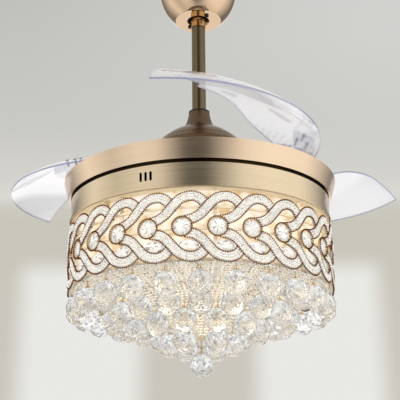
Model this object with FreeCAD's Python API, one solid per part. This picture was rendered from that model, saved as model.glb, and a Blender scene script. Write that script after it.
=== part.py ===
import FreeCAD, Part
import math
import os

# Ceiling fan with three retracting clear blades over a crystal light drum.
# Millimetres. The origin is on the ceiling, on the fan's axis, and +Z is up.
# Angles named "from the front" are counted from -Y towards +X.

os.makedirs("parts", exist_ok=True)

Vec = FreeCAD.Vector
UP = Vec(0, 0, 1)
CENTRE = Vec(0, 0, 0)
FULL_TURN = 360.0

# Clearances
overrun = 5.0
run_fit = 0.05
seat_gap = 0.1
slide_gap = 0.3

# Ceiling bracket
bracket_length = 110.0
bracket_width = 40.0
bracket_thick = 3.0
ceiling_hole_pitch = 80.0
ceiling_hole_diameter = 6.5
leg_spread = 32.0
leg_thick = 3.0
leg_width = 30.0
cup_flange_radius = 37.0
cup_flange_thick = 3.0
cup_wall = 3.4

# Hanger ball and its seat
ball_drop = 50.0
ball_radius = 24.0
ball_head = 14.0
ball_foot = 21.0
liner_thick = 3.0
liner_head = 3.0
liner_foot = 16.0
cup_foot = 19.0
ball_pin_radius = 3.0
ball_pin_length = 42.0

# Canopy
canopy_height = 75.0
canopy_edge_gap = 0.5
canopy_mouth_radius = 70.0
canopy_floor_radius = 42.0
canopy_hole_radius = 20.7
canopy_wall = 1.2
canopy_bulge_radius_shares = (0.59, 0.965, 0.99)
canopy_bulge_height_shares = (0.24, 0.56, 0.78)
canopy_screw_circle = 26.0
canopy_screw_angle = 36.0
canopy_screw_radius = 1.95
canopy_screw_length = 9.0
canopy_screw_head_radius = 4.0
canopy_screw_head = 2.2
screw_boss_radius = 5.0
screw_boss_height = 16.0

# Downrod
rod_radius = 12.5
rod_wall = 2.0
rod_length = 278.0
rod_top_rise = 28.0
collar_radius = 13.4
collar_top_drop = 72.0
collar_height = 18.0
collar_screw_radius = 1.6
collar_screw_angle = 32.0
lower_pin_radius = 3.0
lower_pin_length = 40.0
lower_pin_rise = 16.0
clip_radius = 5.4
clip_thick = 1.2

# Coupling yoke and its covers
yoke_radius = 16.0
yoke_height = 32.0
yoke_foot = 20.0
yoke_flange_radius = 26.0
yoke_flange_thick = 3.0
yoke_screw_radius = 2.5
yoke_screw_length = 5.0
yoke_screw_drop = 8.0
cover_top_rise = 39.0
cover_ring_thick = 3.6
cover_ring_radius = 18.8
neck_foot_radius = 30.0
neck_waist_radius_share = 0.36
neck_waist_height_share = 0.55
cover_wall = 1.4
bell_room = 3.0
bell_height = 70.0
bell_radius_shares = (0.41, 0.75, 0.94)
bell_height_shares = (0.20, 0.49, 0.72)

# Motor
rim_below_rod = 107.0
shaft_radius = 10.0
shaft_bore = 7.0
shaft_tail = 12.0
motor_radius = 82.0
motor_wall = 3.0
motor_plate = 4.0
motor_height = 73.0
motor_split_share = 0.5
bearing_radius = 16.0
bearing_height = 9.0
bearing_boss_radius = 20.0
bearing_boss_height = 14.0
bearing_lip_radius = 13.0
magnet_thick = 6.8
stator_hub_radius = 32.0
stator_height = 30.0
stator_slot_count = 12
stator_slot_width = 13.0
air_gap = 0.7
magnet_height = 36.0
coil_inset = 2.0
coil_width_share = 0.8
lug_reach = 4.0
lug_radius = 5.0
lug_count = 6
lug_height = 8.0
lug_screw_radius = 2.0
lug_screw_head_radius = 3.6
lug_screw_head = 2.4

# Blade carrier and blade mechanism
carrier_drop = 11.0
carrier_room = 4.0
carrier_thick = 3.0
carrier_hole_radius = 40.0
carrier_window_radius = 30.0
carrier_window_margin = 52.0
carrier_screw_circle = 60.0
carrier_screw_radius = 2.5
carrier_screw_head_radius = 4.5
carrier_screw_head = 3.0
guide_room = 2.0
guide_wall = 2.2
guide_height = 6.2
circlip_width = 4.0
circlip_thick = 1.0
pivot_inset = 15.0
pivot_angle = 52.6
blade_count = 3
post_radius = 5.0
post_spigot_radius = 3.0
post_height = 21.0
cap_radius = 9.0
cap_thick = 3.0
hub_radius = 19.0
spring_outer_radius = 9.5
spring_inner_radius = 6.0
spring_height = 8.0

# Gear ring and toothed sectors that open the blades together
gear_ratio = 5
sector_tooth_count = 18
gear_thick = 4.0
gear_backlash = 1.6
tooth_head_share = 0.75
tooth_foot_share = 1.0
flank_angle = 22.0
sector_tooth_angles = (-70, -50, -30, -10, 10, 30, 50)
gear_hole_radius = 17.0
gear_hole_circle = 130.0
gear_hole_count = 9

# Blades
blade_opening_angle = 46.0
blade_edge_inset = 2.0
blade_root_lead_angle = 1.9
blade_span_angle = 107.5
blade_thick = 3.2
blade_chord = 132.0
blade_station_shares = (0.0, 0.06, 0.13, 0.25, 0.40, 0.55, 0.70, 0.85, 1.0)
blade_chord_shares = (0.53, 0.68, 0.81, 0.92, 0.94, 0.95, 0.98, 1.0, 1.0)
blade_root_pitch_angle = 15.0
blade_tip_pitch_angle = 25.5
blade_camber_share = 0.095
blade_root_height = 10.6
blade_tip_height = 22.0
blade_tip_round = 108.0
pad_half_width = 17.0
pad_floor_height = 3.0
pad_sweep_angle = 16.0
pad_margin_angle = 0.5
pad_headroom = 90.0
cap_room = 1.5
blade_screw_radius = 2.0
blade_screw_length = 10.0
blade_screw_head_radius = 4.0
blade_screw_head = 2.0
blade_screw_sink = 0.4
blade_screw_angles = (6.2, 6.2, 12.2)
blade_screw_insets = (17.0, 34.0, 25.0)

# Top ring, drum housing and chassis
rim_radius = 235.0
ring_height = 31.0
ring_taper = 9.0
ring_wall = 1.5
ring_flange_setback = 1.0
chassis_room = 4.0
chassis_thick = 2.0
chassis_hole_radius = 34.0
chassis_hole_margin = 28.0
shaft_shoulder_radius = 16.0
shaft_shoulder_height = 5.0
hub_nut_radius = 18.0
hub_nut_height = 8.0
housing_wall = 1.5
groove_inset = 7.0
groove_height = 5.0
band_step = 3.0
band_taper = 2.0
band_height = 38.0
lip_reach = 3.5
lip_height = 3.0
housing_flange_width = 12.0
chassis_screw_count = 6
chassis_screw_radius = 2.0
chassis_screw_head_radius = 3.4
chassis_screw_head = 2.4
chassis_screw_tail = 3.0
slot_angle = -22.0
slot_pitch_angle = 2.15
slot_count = 3
slot_width = 4.2
slot_height = 15.0

# Electrical pieces in the drum
box_offset = 95.0
receiver_length = 90.0
receiver_width = 44.0
receiver_height = 22.0
driver_length = 84.0
driver_width = 46.0
driver_height = 22.0
box_corner = 3.0
pillar_radius = 4.0
pillar_margin = 38.0
pillar_count = 4
pillar_first_angle = 45.0
tray_room = 1.0
tray_thick = 1.5
tray_gap = 34.0
board_inner_radius = 60.0
board_margin = 13.0
board_thick = 1.6
board_count = 6
board_split = 4.0
diffuser_depth = 18.0
diffuser_crown = 8.0
diffuser_wall = 2.0
diffuser_round_share = 0.75

# Crystal frame
frame_ring_thick = 2.0
thumb_screw_count = 3
thumb_screw_angle = -43.0
thumb_screw_radius = 2.0
thumb_head_radius = 4.4
thumb_head_height = 8.0
thumb_screw_tail = 6.0
thumb_knurl_count = 12
thumb_knurl_radius = 0.6
band_drop = 141.0
hoop_width = 2.4
hoop_height = 3.0
hoop_offset = 34.0
rib_count = 9
rib_first_angle = 6.0
rib_width = 6.0
rib_thick = 3.0
shade_room = 4.0
shade_wall = 1.5
shade_foot_rise = 3.0
foot_ring_width = 12.0
foot_ring_thick = 3.0
foot_ring_drop = 186.0
tier_ring_width = 3.0
tier_ring_thick = 2.0
spoke_count = 12
spoke_thick = 2.5
spoke_depth = 2.6
frame_hub_radius = 8.0
frame_hub_thick = 8.0
frame_hub_drop = 269.0

# Scroll band
scroll_count = 26
scroll_first_angle = 6.8
scroll_inset = 2.0
scroll_thick = 4.5
scroll_width = 12.4
scroll_start_across = 16.5
scroll_start_up = 11.5
scroll_start_angle = 12.0
scroll_sweep_radius = 34.0
scroll_sweep_angle = 42.0
scroll_straight = 15.5
scroll_crown_radius = 20.5
scroll_crown_angle = -128.0
scroll_middle_across = 50.0
crystal_radius = 14.3
crystal_table_share = 0.55
crystal_depth = 5.0
crystal_girdle = 1.4
crystal_facet_count = 16
bezel_width = 1.6
bezel_depth = 4.2

# Hanging crystal balls
ball_crystal_radius = 20.0
ball_crystal_flat = 4.4
tier_counts = (24, 18, 12, 6)
outer_tier_inset = 12.0
tier_radius_shares = (1.0, 0.7053, 0.4783, 0.2512)
tier_drops = (221.0, 237.0, 254.0, 276.0)
tier_turn_shares = (0.0, 0.0, 0.5, 0.5)
hook_cap_radius = 4.2
hook_cap_height = 2.4
hook_wire_radius = 0.9
hook_rise = 14.0
finial_drop = 309.0
finial_pin_rise = 8.0
finial_pin_radius = 1.1
finial_pin_length = 9.0
finial_strap_width = 3.0
finial_strap_thick = 1.4
finial_strap_gap = 5.4
finial_eye_radius = 3.2
finial_eye_thick = 2.4
finial_cap_radius = 4.6
finial_cap_height = 2.2


def outward(angle):
    """Level direction at an angle from the front."""
    a = math.radians(angle)
    return Vec(math.sin(a), -math.cos(a), 0)


def around(radius, angle, z=0):
    """Point at a radius and an angle from the front."""
    return outward(angle) * radius + Vec(0, 0, z)


def spun(vector, angle):
    """Vector turned about +Z, counter-clockwise seen from above."""
    a = math.radians(angle)
    return Vec(vector.x * math.cos(a) - vector.y * math.sin(a),
               vector.x * math.sin(a) + vector.y * math.cos(a), vector.z)


def mix(start, end, share):
    """Value part of the way from start to end."""
    return start + (end - start) * share


def disc(radius, low, high, at=CENTRE):
    """Upright cylinder between two heights."""
    return Part.makeCylinder(radius, high - low, Vec(at.x, at.y, low), UP)


def sleeve(outer, inner, low, high, at=CENTRE):
    """Upright tube between two heights."""
    return disc(outer, low, high, at).cut(disc(inner, low - overrun, high + overrun, at))


def bar(radius, length, start, direction):
    """Cylinder from a point along a direction."""
    return Part.makeCylinder(radius, length, start, direction)


def block(length, width, height, low_centre):
    """Box on a centre point of its underside."""
    corner = low_centre - Vec(length / 2, width / 2, 0)
    return Part.makeBox(length, width, height, corner)


def turned(shape, angle, pivot=CENTRE):
    """Copy of a shape turned about a vertical axis."""
    copy = shape.copy()
    copy.rotate(pivot, UP, angle)
    return copy


def ring_of(shape, count, first=0):
    """Copies of a shape set round the fan's axis."""
    return [turned(shape, first + FULL_TURN * k / count) for k in range(count)]


def edge_through(first, middle, last):
    """Arc through three points, or a line where they lie in a row."""
    bend = (middle - first).cross(last - middle)
    if bend.Length < run_fit:
        return Part.makeLine(first, last)
    return Part.Arc(first, middle, last).toShape()


def lathe(points):
    """Solid of revolution of a closed outline of (radius, height) corners."""
    corners = [Vec(r, 0, z) for r, z in points]
    face = Part.Face(Part.makePolygon(corners + corners[:1]))
    return face.revolve(CENTRE, UP, FULL_TURN)


def spun_shell(points, wall):
    """Thin turned shell: outer line as arcs through each three points, with an even wall inside it."""
    outer = [Vec(r, 0, z) for r, z in points]
    inner = []
    for k, point in enumerate(outer):
        before = outer[max(k - 1, 0)]
        after = outer[min(k + 1, len(outer) - 1)]
        along = (after - before).normalize()
        inner.append(point + Vec(along.z, 0, -along.x) * wall)
    arcs = range(0, len(outer) - 2, 2)
    edges = [edge_through(outer[k], outer[k + 1], outer[k + 2]) for k in arcs]
    edges.append(Part.makeLine(outer[-1], inner[-1]))
    edges += [edge_through(inner[k + 2], inner[k + 1], inner[k]) for k in reversed(arcs)]
    edges.append(Part.makeLine(inner[0], outer[0]))
    return Part.Face(Part.Wire(edges)).revolve(CENTRE, UP, FULL_TURN)


def shell_zone(outer, inner, centre_z, low, high):
    """Slice of a hollow ball between two heights."""
    ball = Part.makeSphere(outer, Vec(0, 0, centre_z))
    hollow = Part.makeSphere(inner, Vec(0, 0, centre_z))
    return ball.cut(hollow).common(disc(outer + overrun, low, high))


def save(node, *shapes):
    """Write one node, as one solid or as a group of separate solids."""
    shape = shapes[0] if len(shapes) == 1 else Part.makeCompound(list(shapes))
    shape.exportStep("parts/%s.step" % node)


# Radii that several pieces share, from the rim inwards
ring_foot_radius = rim_radius - ring_taper
blade_edge_radius = rim_radius - blade_edge_inset
carrier_radius = ring_foot_radius - carrier_room
carrier_window_circle = carrier_radius - carrier_window_margin - carrier_window_radius
pivot_radius = carrier_radius - pivot_inset
pad_inner_radius = pivot_radius - pad_half_width
pad_outer_radius = pivot_radius + pad_half_width
band_top_radius = ring_foot_radius - band_step
band_foot_radius = band_top_radius - band_taper
lip_radius = band_foot_radius + lip_reach
groove_radius = band_top_radius - groove_inset
housing_flange_inner = groove_radius - housing_flange_width
ring_flange_inner = housing_flange_inner + ring_flange_setback
chassis_radius = groove_radius - chassis_room
chassis_screw_circle = (ring_flange_inner + chassis_radius) / 2
chassis_hole_circle = chassis_radius - chassis_hole_margin - chassis_hole_radius
tray_radius = housing_flange_inner - tray_room
pillar_circle = tray_radius - pillar_margin
board_outer_radius = tray_radius - board_margin
shade_radius = tray_radius + shade_room
frame_ring_inner = shade_radius - shade_wall
frame_ring_outer = band_foot_radius
thumb_screw_circle = (frame_ring_inner + frame_ring_outer) / 2
scroll_back_radius = frame_ring_outer - scroll_inset
tier_radii = [(scroll_back_radius - outer_tier_inset) * share for share in tier_radius_shares]

# Radii that several pieces share, from the shaft outwards
stator_radius = motor_radius - motor_wall - magnet_thick - air_gap
lug_circle = motor_radius + lug_reach
guide_radius = lug_circle + lug_radius + guide_room
bell_foot_radius = lug_circle + lug_radius + bell_room

# Heights that several pieces share
ball_z = -ball_drop
canopy_floor_z = -canopy_height
rod_top_z = ball_z + rod_top_rise
rod_foot_z = rod_top_z - rod_length
rim_z = rod_foot_z - rim_below_rod
carrier_top_z = rim_z - carrier_drop
carrier_foot_z = carrier_top_z - carrier_thick
motor_top_z = carrier_top_z + motor_height
ring_foot_z = rim_z - ring_height
chassis_foot_z = ring_foot_z + ring_wall
chassis_top_z = chassis_foot_z + chassis_thick
band_top_z = ring_foot_z - groove_height
band_foot_z = band_top_z - band_height
housing_foot_z = band_foot_z - housing_wall
tray_top_z = chassis_foot_z - tray_gap
tray_foot_z = tray_top_z - tray_thick
frame_ring_foot_z = housing_foot_z - frame_ring_thick
band_z = rim_z - band_drop
foot_ring_z = rim_z - foot_ring_drop
frame_hub_z = rim_z - frame_hub_drop
finial_z = rim_z - finial_drop


def ceiling_bracket():
    """Slotless plate with two legs and the cup that holds the ball seat."""
    cup_inner = ball_radius + liner_thick + 2 * run_fit
    cup_outer = cup_inner + cup_wall
    plate = block(bracket_length, bracket_width, bracket_thick, Vec(0, 0, -bracket_thick))
    for side in (-1, 1):
        hole = Vec(side * ceiling_hole_pitch / 2, 0, 0)
        plate = plate.cut(disc(ceiling_hole_diameter / 2, -bracket_thick - overrun, overrun, hole))
    flange_foot = ball_z - cup_flange_thick
    parts = [shell_zone(cup_outer, cup_inner, ball_z, ball_z - cup_foot, ball_z),
             disc(cup_flange_radius, flange_foot, ball_z)]
    for side in (-1, 1):
        foot = Vec(side * (leg_spread + leg_thick / 2), 0, flange_foot)
        parts.append(block(leg_thick, leg_width, -flange_foot - bracket_thick, foot))
        boss = around(canopy_screw_circle * side, canopy_screw_angle)
        floor = canopy_floor_z + canopy_wall
        parts.append(disc(screw_boss_radius, floor, floor + screw_boss_height, boss))
    bracket = plate.multiFuse(parts)
    bracket = bracket.cut(Part.makeSphere(cup_inner, Vec(0, 0, ball_z)))
    for side in (-1, 1):
        boss = around(canopy_screw_circle * side, canopy_screw_angle)
        bracket = bracket.cut(disc(canopy_screw_radius + run_fit, canopy_floor_z, ball_z, boss))
    return bracket.removeSplitter()


def canopy():
    """Polished bell with a flat floor, a hole for the rod and two screw holes."""
    points = [(canopy_floor_radius, canopy_floor_z)]
    for r_share, z_share in zip(canopy_bulge_radius_shares, canopy_bulge_height_shares):
        points.append((mix(canopy_floor_radius, canopy_mouth_radius, r_share),
                       mix(canopy_floor_z, 0, z_share)))
    points.append((canopy_mouth_radius, -canopy_edge_gap))
    wall = spun_shell(points[::-1], canopy_wall)
    floor = sleeve(canopy_floor_radius, canopy_hole_radius, canopy_floor_z, canopy_floor_z + canopy_wall)
    bell = wall.fuse(floor)
    for side in (-1, 1):
        spot = around(canopy_screw_circle * side, canopy_screw_angle)
        bell = bell.cut(disc(canopy_screw_radius + slide_gap, canopy_floor_z - overrun,
                             canopy_floor_z + canopy_wall + overrun, spot))
    return bell.removeSplitter()


def screw(head_radius, head, shank_radius, shank):
    """Pan-headed screw with its head's seat at the origin and its shank going down."""
    body = disc(head_radius, 0, head).fuse(disc(shank_radius, -shank, 0))
    slot = block(2 * head_radius + overrun, shank_radius / 2, head, Vec(0, 0, head / 2))
    return body.cut(slot)


def placed(shape, at, direction):
    """Copy of a shape moved to a point, with its +Z along a direction."""
    copy = shape.copy()
    copy.Placement = FreeCAD.Placement(at, FreeCAD.Rotation(UP, direction))
    return copy


def hanger_pieces():
    """Bracket, canopy, its screws, ball seat and ball."""
    save("hanger_bracket", ceiling_bracket())
    save("canopy", canopy())
    one = screw(canopy_screw_head_radius, canopy_screw_head, canopy_screw_radius, canopy_screw_length)
    spots = [around(canopy_screw_circle * side, canopy_screw_angle, canopy_floor_z) for side in (-1, 1)]
    save("canopy_screws", *[placed(one, spot, -UP) for spot in spots])
    save("seat_liner", shell_zone(ball_radius + liner_thick + run_fit, ball_radius + run_fit, ball_z,
                                  ball_z - liner_foot, ball_z + liner_head))
    ball = Part.makeSphere(ball_radius, Vec(0, 0, ball_z))
    ball = ball.common(disc(ball_radius + overrun, ball_z - ball_foot, ball_z + ball_head))
    bore = disc(rod_radius + run_fit, ball_z - ball_radius, ball_z + ball_radius)
    save("hanger_ball", ball.cut(bore))


def rod_pieces():
    """Downrod with its two cross pins and clip, the coupling yoke, the rod collar and all set screws."""
    ball_pin_z = ball_z + ball_head + ball_pin_radius
    rod = sleeve(rod_radius, rod_radius - rod_wall, rod_foot_z, rod_top_z)
    lower_pin_z = rod_foot_z + lower_pin_rise
    reach = bracket_length
    for z, radius in ((ball_pin_z, ball_pin_radius), (lower_pin_z, lower_pin_radius)):
        rod = rod.cut(bar(radius + run_fit, reach, Vec(-reach / 2, 0, z), Vec(1, 0, 0)))
    save("downrod", rod)
    collar_top = -collar_top_drop
    collar_foot = collar_top - collar_height
    collar = sleeve(collar_radius, rod_radius + run_fit, collar_foot, collar_top)
    screws = []
    for side in (0, FULL_TURN / 2):
        out = outward(collar_screw_angle + side)
        start = out * (rod_radius + run_fit) + Vec(0, 0, (collar_top + collar_foot) / 2)
        collar = collar.cut(bar(collar_screw_radius + run_fit, overrun, start, out))
        screws.append(bar(collar_screw_radius, (collar_radius - rod_radius) / 2, start, out))
    save("rod_collar", collar)
    pins = [bar(radius, length, Vec(-length / 2, 0, z), Vec(1, 0, 0))
            for radius, length, z in ((ball_pin_radius, ball_pin_length, ball_pin_z),
                                      (lower_pin_radius, lower_pin_length, lower_pin_z))]
    save("rod_pins", *pins)
    clip_at = Vec(yoke_radius + seat_gap, 0, lower_pin_z)
    clip = bar(clip_radius, clip_thick, clip_at, Vec(1, 0, 0))
    hole = bar(lower_pin_radius + run_fit, yoke_radius, clip_at - Vec(overrun, 0, 0), Vec(1, 0, 0))
    save("cotter_clip", clip.cut(hole))

    yoke_top = rod_foot_z + yoke_height
    yoke_bottom = rod_foot_z - yoke_foot
    flange_top = rod_foot_z + yoke_flange_thick
    yoke = disc(yoke_radius, yoke_bottom, yoke_top)
    yoke = yoke.fuse(disc(yoke_flange_radius, rod_foot_z, flange_top))
    yoke = yoke.cut(disc(rod_radius + run_fit, rod_foot_z, yoke_top + overrun))
    yoke = yoke.cut(disc(shaft_radius + run_fit, yoke_bottom - overrun, rod_foot_z + overrun))
    yoke = yoke.cut(bar(lower_pin_radius + run_fit, reach, Vec(-reach / 2, 0, lower_pin_z), Vec(1, 0, 0)))
    for side in (-1, 1):
        out = Vec(0, side, 0)
        start = out * (rod_radius + run_fit) + Vec(0, 0, yoke_top - yoke_screw_drop)
        yoke = yoke.cut(bar(yoke_screw_radius + run_fit, yoke_radius, start, out))
        screws.append(bar(yoke_screw_radius, yoke_screw_length, start, out))
    save("coupling_yoke", yoke.removeSplitter())
    save("set_screws", *screws)
    return flange_top


def cover_pieces(flange_top):
    """Black ring, neck cover and bell cover."""
    ring_top = rod_foot_z + cover_top_rise
    neck_top = ring_top - cover_ring_thick
    save("cover_ring", sleeve(cover_ring_radius, rod_radius + slide_gap, neck_top, ring_top))
    bell_top = flange_top + cover_wall
    waist = (mix(cover_ring_radius, neck_foot_radius, neck_waist_radius_share),
             mix(neck_top, bell_top, neck_waist_height_share))
    neck = spun_shell([(cover_ring_radius, neck_top), waist, (neck_foot_radius, bell_top)], cover_wall)
    neck = neck.common(disc(neck_foot_radius, bell_top, neck_top))
    save("neck_cover", neck)
    points = [(neck_foot_radius, bell_top)]
    for r_share, z_share in zip(bell_radius_shares, bell_height_shares):
        points.append((mix(neck_foot_radius, bell_foot_radius, r_share), bell_top - bell_height * z_share))
    points.append((bell_foot_radius, bell_top - bell_height))
    bell = spun_shell(points, cover_wall)
    bell = bell.fuse(sleeve(neck_foot_radius, yoke_radius + slide_gap, flange_top, bell_top))
    bell = bell.common(disc(bell_foot_radius + overrun, bell_top - bell_height, bell_top))
    save("bell_cover", bell.removeSplitter())


def motor_pieces():
    """Hollow shaft, stator, bearings, rotor shells, magnets and their screws."""
    shaft_top = rod_foot_z - seat_gap
    shaft_foot = chassis_foot_z - shaft_tail
    shaft = disc(shaft_radius, shaft_foot, shaft_top)
    shaft = shaft.fuse(disc(shaft_shoulder_radius, chassis_top_z, chassis_top_z + shaft_shoulder_height))
    save("motor_shaft", shaft.cut(disc(shaft_bore, shaft_foot - overrun, shaft_top + overrun)))

    split_z = mix(carrier_top_z, motor_top_z, motor_split_share)
    inner = motor_radius - motor_wall
    boss_top = carrier_top_z + bearing_boss_height
    lower = sleeve(motor_radius, inner, carrier_top_z, split_z)
    lower = lower.fuse(disc(motor_radius, carrier_top_z, carrier_top_z + motor_plate))
    lower = lower.fuse(disc(bearing_boss_radius, carrier_top_z, boss_top))
    lower = lower.cut(disc(bearing_lip_radius, carrier_top_z - overrun, boss_top + overrun))
    lower_seat = boss_top - bearing_height
    lower = lower.cut(disc(bearing_radius + run_fit, lower_seat, boss_top + overrun))
    boss_foot = motor_top_z - bearing_boss_height
    upper = sleeve(motor_radius, inner, split_z, motor_top_z)
    upper = upper.fuse(disc(motor_radius, motor_top_z - motor_plate, motor_top_z))
    upper = upper.fuse(disc(bearing_boss_radius, boss_foot, motor_top_z))
    upper = upper.cut(disc(bearing_lip_radius, boss_foot - overrun, motor_top_z + overrun))
    upper_seat = boss_foot + bearing_height
    upper = upper.cut(disc(bearing_radius + run_fit, boss_foot - overrun, upper_seat))
    bearings = [sleeve(bearing_radius, shaft_radius + run_fit, z, z + bearing_height)
                for z in (lower_seat, boss_foot)]
    save("bearings", *bearings)

    screws = []
    head_z = split_z + lug_height
    one = screw(lug_screw_head_radius, lug_screw_head, lug_screw_radius, 2 * lug_height)
    for k in range(lug_count):
        spot = around(lug_circle, FULL_TURN * k / lug_count)
        hole = disc(lug_screw_radius + run_fit, split_z - lug_height - overrun, head_z + overrun, spot)
        outside = disc(inner, split_z - lug_height, head_z)
        low_lug = disc(lug_radius, split_z - lug_height, split_z, spot).cut(outside)
        high_lug = disc(lug_radius, split_z, head_z, spot).cut(outside)
        lower = lower.fuse(low_lug).cut(hole)
        upper = upper.fuse(high_lug).cut(hole)
        screws.append(placed(one, spot + Vec(0, 0, head_z), UP))
    for k in range(lug_count):
        spot = around(carrier_screw_circle, FULL_TURN * k / lug_count)
        lower = lower.cut(disc(carrier_screw_radius + run_fit, carrier_top_z - overrun,
                               carrier_top_z + motor_plate + overrun, spot))
    save("rotor_lower_shell", lower.removeSplitter())
    save("rotor_upper_shell", upper.removeSplitter())

    half_magnet = magnet_height / 2
    save("magnet_ring", sleeve(inner - run_fit, stator_radius + air_gap, split_z - half_magnet, split_z + half_magnet))

    low, high = split_z - stator_height / 2, split_z + stator_height / 2
    core = sleeve(stator_radius, shaft_radius + run_fit, low, high)
    slot_length = stator_radius - stator_hub_radius
    slot = block(slot_length, stator_slot_width, stator_height + 2 * overrun,
                 Vec(stator_hub_radius + slot_length / 2, 0, low - overrun))
    mouth = block(overrun, stator_slot_width / 2, stator_height + 2 * overrun,
                  Vec(stator_radius, 0, low - overrun))
    shoe = Part.makeBox(overrun, stator_slot_width, stator_height,
                        Vec(stator_radius - overrun, -stator_slot_width / 2, low))
    coil_length = slot_length - overrun - 2 * coil_inset
    coil = block(coil_length, stator_slot_width * coil_width_share, stator_height + 2 * coil_inset,
                 Vec(stator_hub_radius + coil_length / 2 + seat_gap, 0, low - coil_inset))
    for cutter in ring_of(slot.cut(shoe).fuse(mouth), stator_slot_count):
        core = core.cut(cutter)
    save("stator_core", core)
    save("stator_coils", *ring_of(coil, stator_slot_count))
    return screws


def tooth_corners(pitch, module, angles):
    """Corner points of straight-flanked teeth centred on the given angles, in order."""
    head = tooth_head_share * module
    foot = tooth_foot_share * module
    half = (math.pi * module / 2 - gear_backlash / 2) / 2
    lean = math.tan(math.radians(flank_angle))
    corners = []
    for angle in angles:
        for reach, side in ((-foot, -1), (head, -1), (head, 1), (-foot, 1)):
            offset = math.degrees((half - reach * lean) / (pitch + reach))
            corners.append(spun(Vec(pitch + reach, 0, 0), angle + side * offset))
    return corners


def slab(corners, low, high):
    """Flat plate of a closed outline."""
    points = [Vec(p.x, p.y, low) for p in corners]
    return Part.Face(Part.makePolygon(points + points[:1])).extrude(UP * (high - low))


sector_pitch = pivot_radius / (1 + gear_ratio)
gear_pitch = sector_pitch * gear_ratio
gear_module = 2 * sector_pitch / sector_tooth_count
gear_low = carrier_top_z + slide_gap
gear_high = gear_low + gear_thick
pivot = around(pivot_radius, pivot_angle)
pivot_direction = math.degrees(math.atan2(pivot.y, pivot.x))
edge_centre = pivot + spun(-pivot, blade_opening_angle)
root_direction = math.degrees(math.atan2(pivot.y - edge_centre.y, pivot.x - edge_centre.x)) + blade_root_lead_angle
hub_top_z = carrier_top_z + post_height - 2 * run_fit - slide_gap


def carrier_pieces(screws):
    """Blade carrier, all screws of the rotor, posts, caps, springs, gear ring and circlip."""
    guide_top = carrier_top_z + guide_height
    carrier = disc(carrier_radius, carrier_foot_z, carrier_top_z)
    carrier = carrier.fuse(sleeve(guide_radius - run_fit, guide_radius - guide_wall, carrier_top_z, guide_top))
    carrier = carrier.cut(disc(carrier_hole_radius, carrier_foot_z - overrun, carrier_top_z + overrun))
    window = disc(carrier_window_radius, carrier_foot_z - overrun, carrier_top_z + overrun,
                  around(carrier_window_circle, pivot_angle))
    for cutter in ring_of(window, 2 * blade_count, FULL_TURN / blade_count / 4):
        carrier = carrier.cut(cutter)
    one = screw(carrier_screw_head_radius, carrier_screw_head, carrier_screw_radius,
                carrier_thick + motor_plate)
    for k in range(lug_count):
        spot = around(carrier_screw_circle, FULL_TURN * k / lug_count, carrier_foot_z)
        carrier = carrier.cut(disc(carrier_screw_radius + run_fit, carrier_foot_z - overrun,
                                   carrier_top_z + overrun, spot))
        screws.append(placed(one, spot, -UP))
    for spot in [spun(pivot, FULL_TURN * k / blade_count) for k in range(blade_count)]:
        carrier = carrier.cut(disc(post_spigot_radius + run_fit, carrier_foot_z - overrun,
                                   carrier_top_z + overrun, spot))
    save("blade_carrier", carrier)
    save("rotor_screws", *screws)

    post_top = carrier_top_z + post_height
    post = disc(post_radius, carrier_top_z, post_top, pivot)
    post = post.fuse(disc(post_spigot_radius, carrier_foot_z, carrier_top_z, pivot))
    save("pivot_posts", *ring_of(post, blade_count))
    save("post_caps", *ring_of(disc(cap_radius, post_top, post_top + cap_thick, pivot), blade_count))
    spring = sleeve(spring_outer_radius, spring_inner_radius, carrier_top_z + seat_gap,
                    carrier_top_z + spring_height, pivot)
    save("return_springs", *ring_of(spring, blade_count))

    teeth = sector_tooth_count * gear_ratio
    angles = [pivot_direction + FULL_TURN * k / teeth for k in range(teeth)]
    gear = slab(tooth_corners(gear_pitch, gear_module, angles), gear_low, gear_high)
    gear = gear.cut(disc(guide_radius + run_fit, gear_low - overrun, gear_high + overrun))
    hole = disc(gear_hole_radius, gear_low - overrun, gear_high + overrun, around(gear_hole_circle, pivot_angle))
    for cutter in ring_of(hole, gear_hole_count):
        gear = gear.cut(cutter)
    save("gear_ring", gear)
    clip_low = gear_high + slide_gap
    save("gear_circlip", sleeve(guide_radius + circlip_width, guide_radius, clip_low, clip_low + circlip_thick))


def blade_direction(share):
    """Direction from the edge's centre at a share of the blade's length."""
    return root_direction - blade_span_angle * share


def blade_section(share):
    """Outer, middle and inner points of the blade's underside, as (radius, height)."""
    chord = blade_chord * table_value(share)
    pitch = math.radians(mix(blade_root_pitch_angle, blade_tip_pitch_angle, share))
    z = rim_z + mix(blade_root_height, blade_tip_height, share)
    out_r, in_r = blade_edge_radius, blade_edge_radius - chord * math.cos(pitch)
    in_z = z + chord * math.sin(pitch)
    camber = chord * blade_camber_share
    middle = ((out_r + in_r) / 2 + camber * math.sin(pitch), (z + in_z) / 2 + camber * math.cos(pitch))
    return (out_r, z), middle, (in_r, in_z)


def table_value(share):
    """Chord share at a share of the length, between the listed stations."""
    stations = list(zip(blade_station_shares, blade_chord_shares))
    for (s0, c0), (s1, c1) in zip(stations, stations[1:]):
        if share <= s1:
            return mix(c0, c1, (share - s0) / (s1 - s0))
    return blade_chord_shares[-1]


def from_edge_centre(radius, direction, z):
    """Point at a radius from the blade edge's centre."""
    return edge_centre + spun(Vec(radius, 0, 0), direction) + Vec(0, 0, z)


def blade_body(under, over):
    """Sweep of the blade between two heights above its underside."""
    wires = []
    for share in blade_station_shares:
        direction = blade_direction(share)
        low = [from_edge_centre(r, direction, z + under) for r, z in blade_section(share)]
        high = [from_edge_centre(r, direction, z + over) for r, z in blade_section(share)]
        wires.append(Part.Wire([Part.Arc(*low).toShape(), Part.makeLine(low[2], high[2]),
                                Part.Arc(*high[::-1]).toShape(), Part.makeLine(high[0], low[0])]))
    return Part.makeLoft(wires, True, False)


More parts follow.
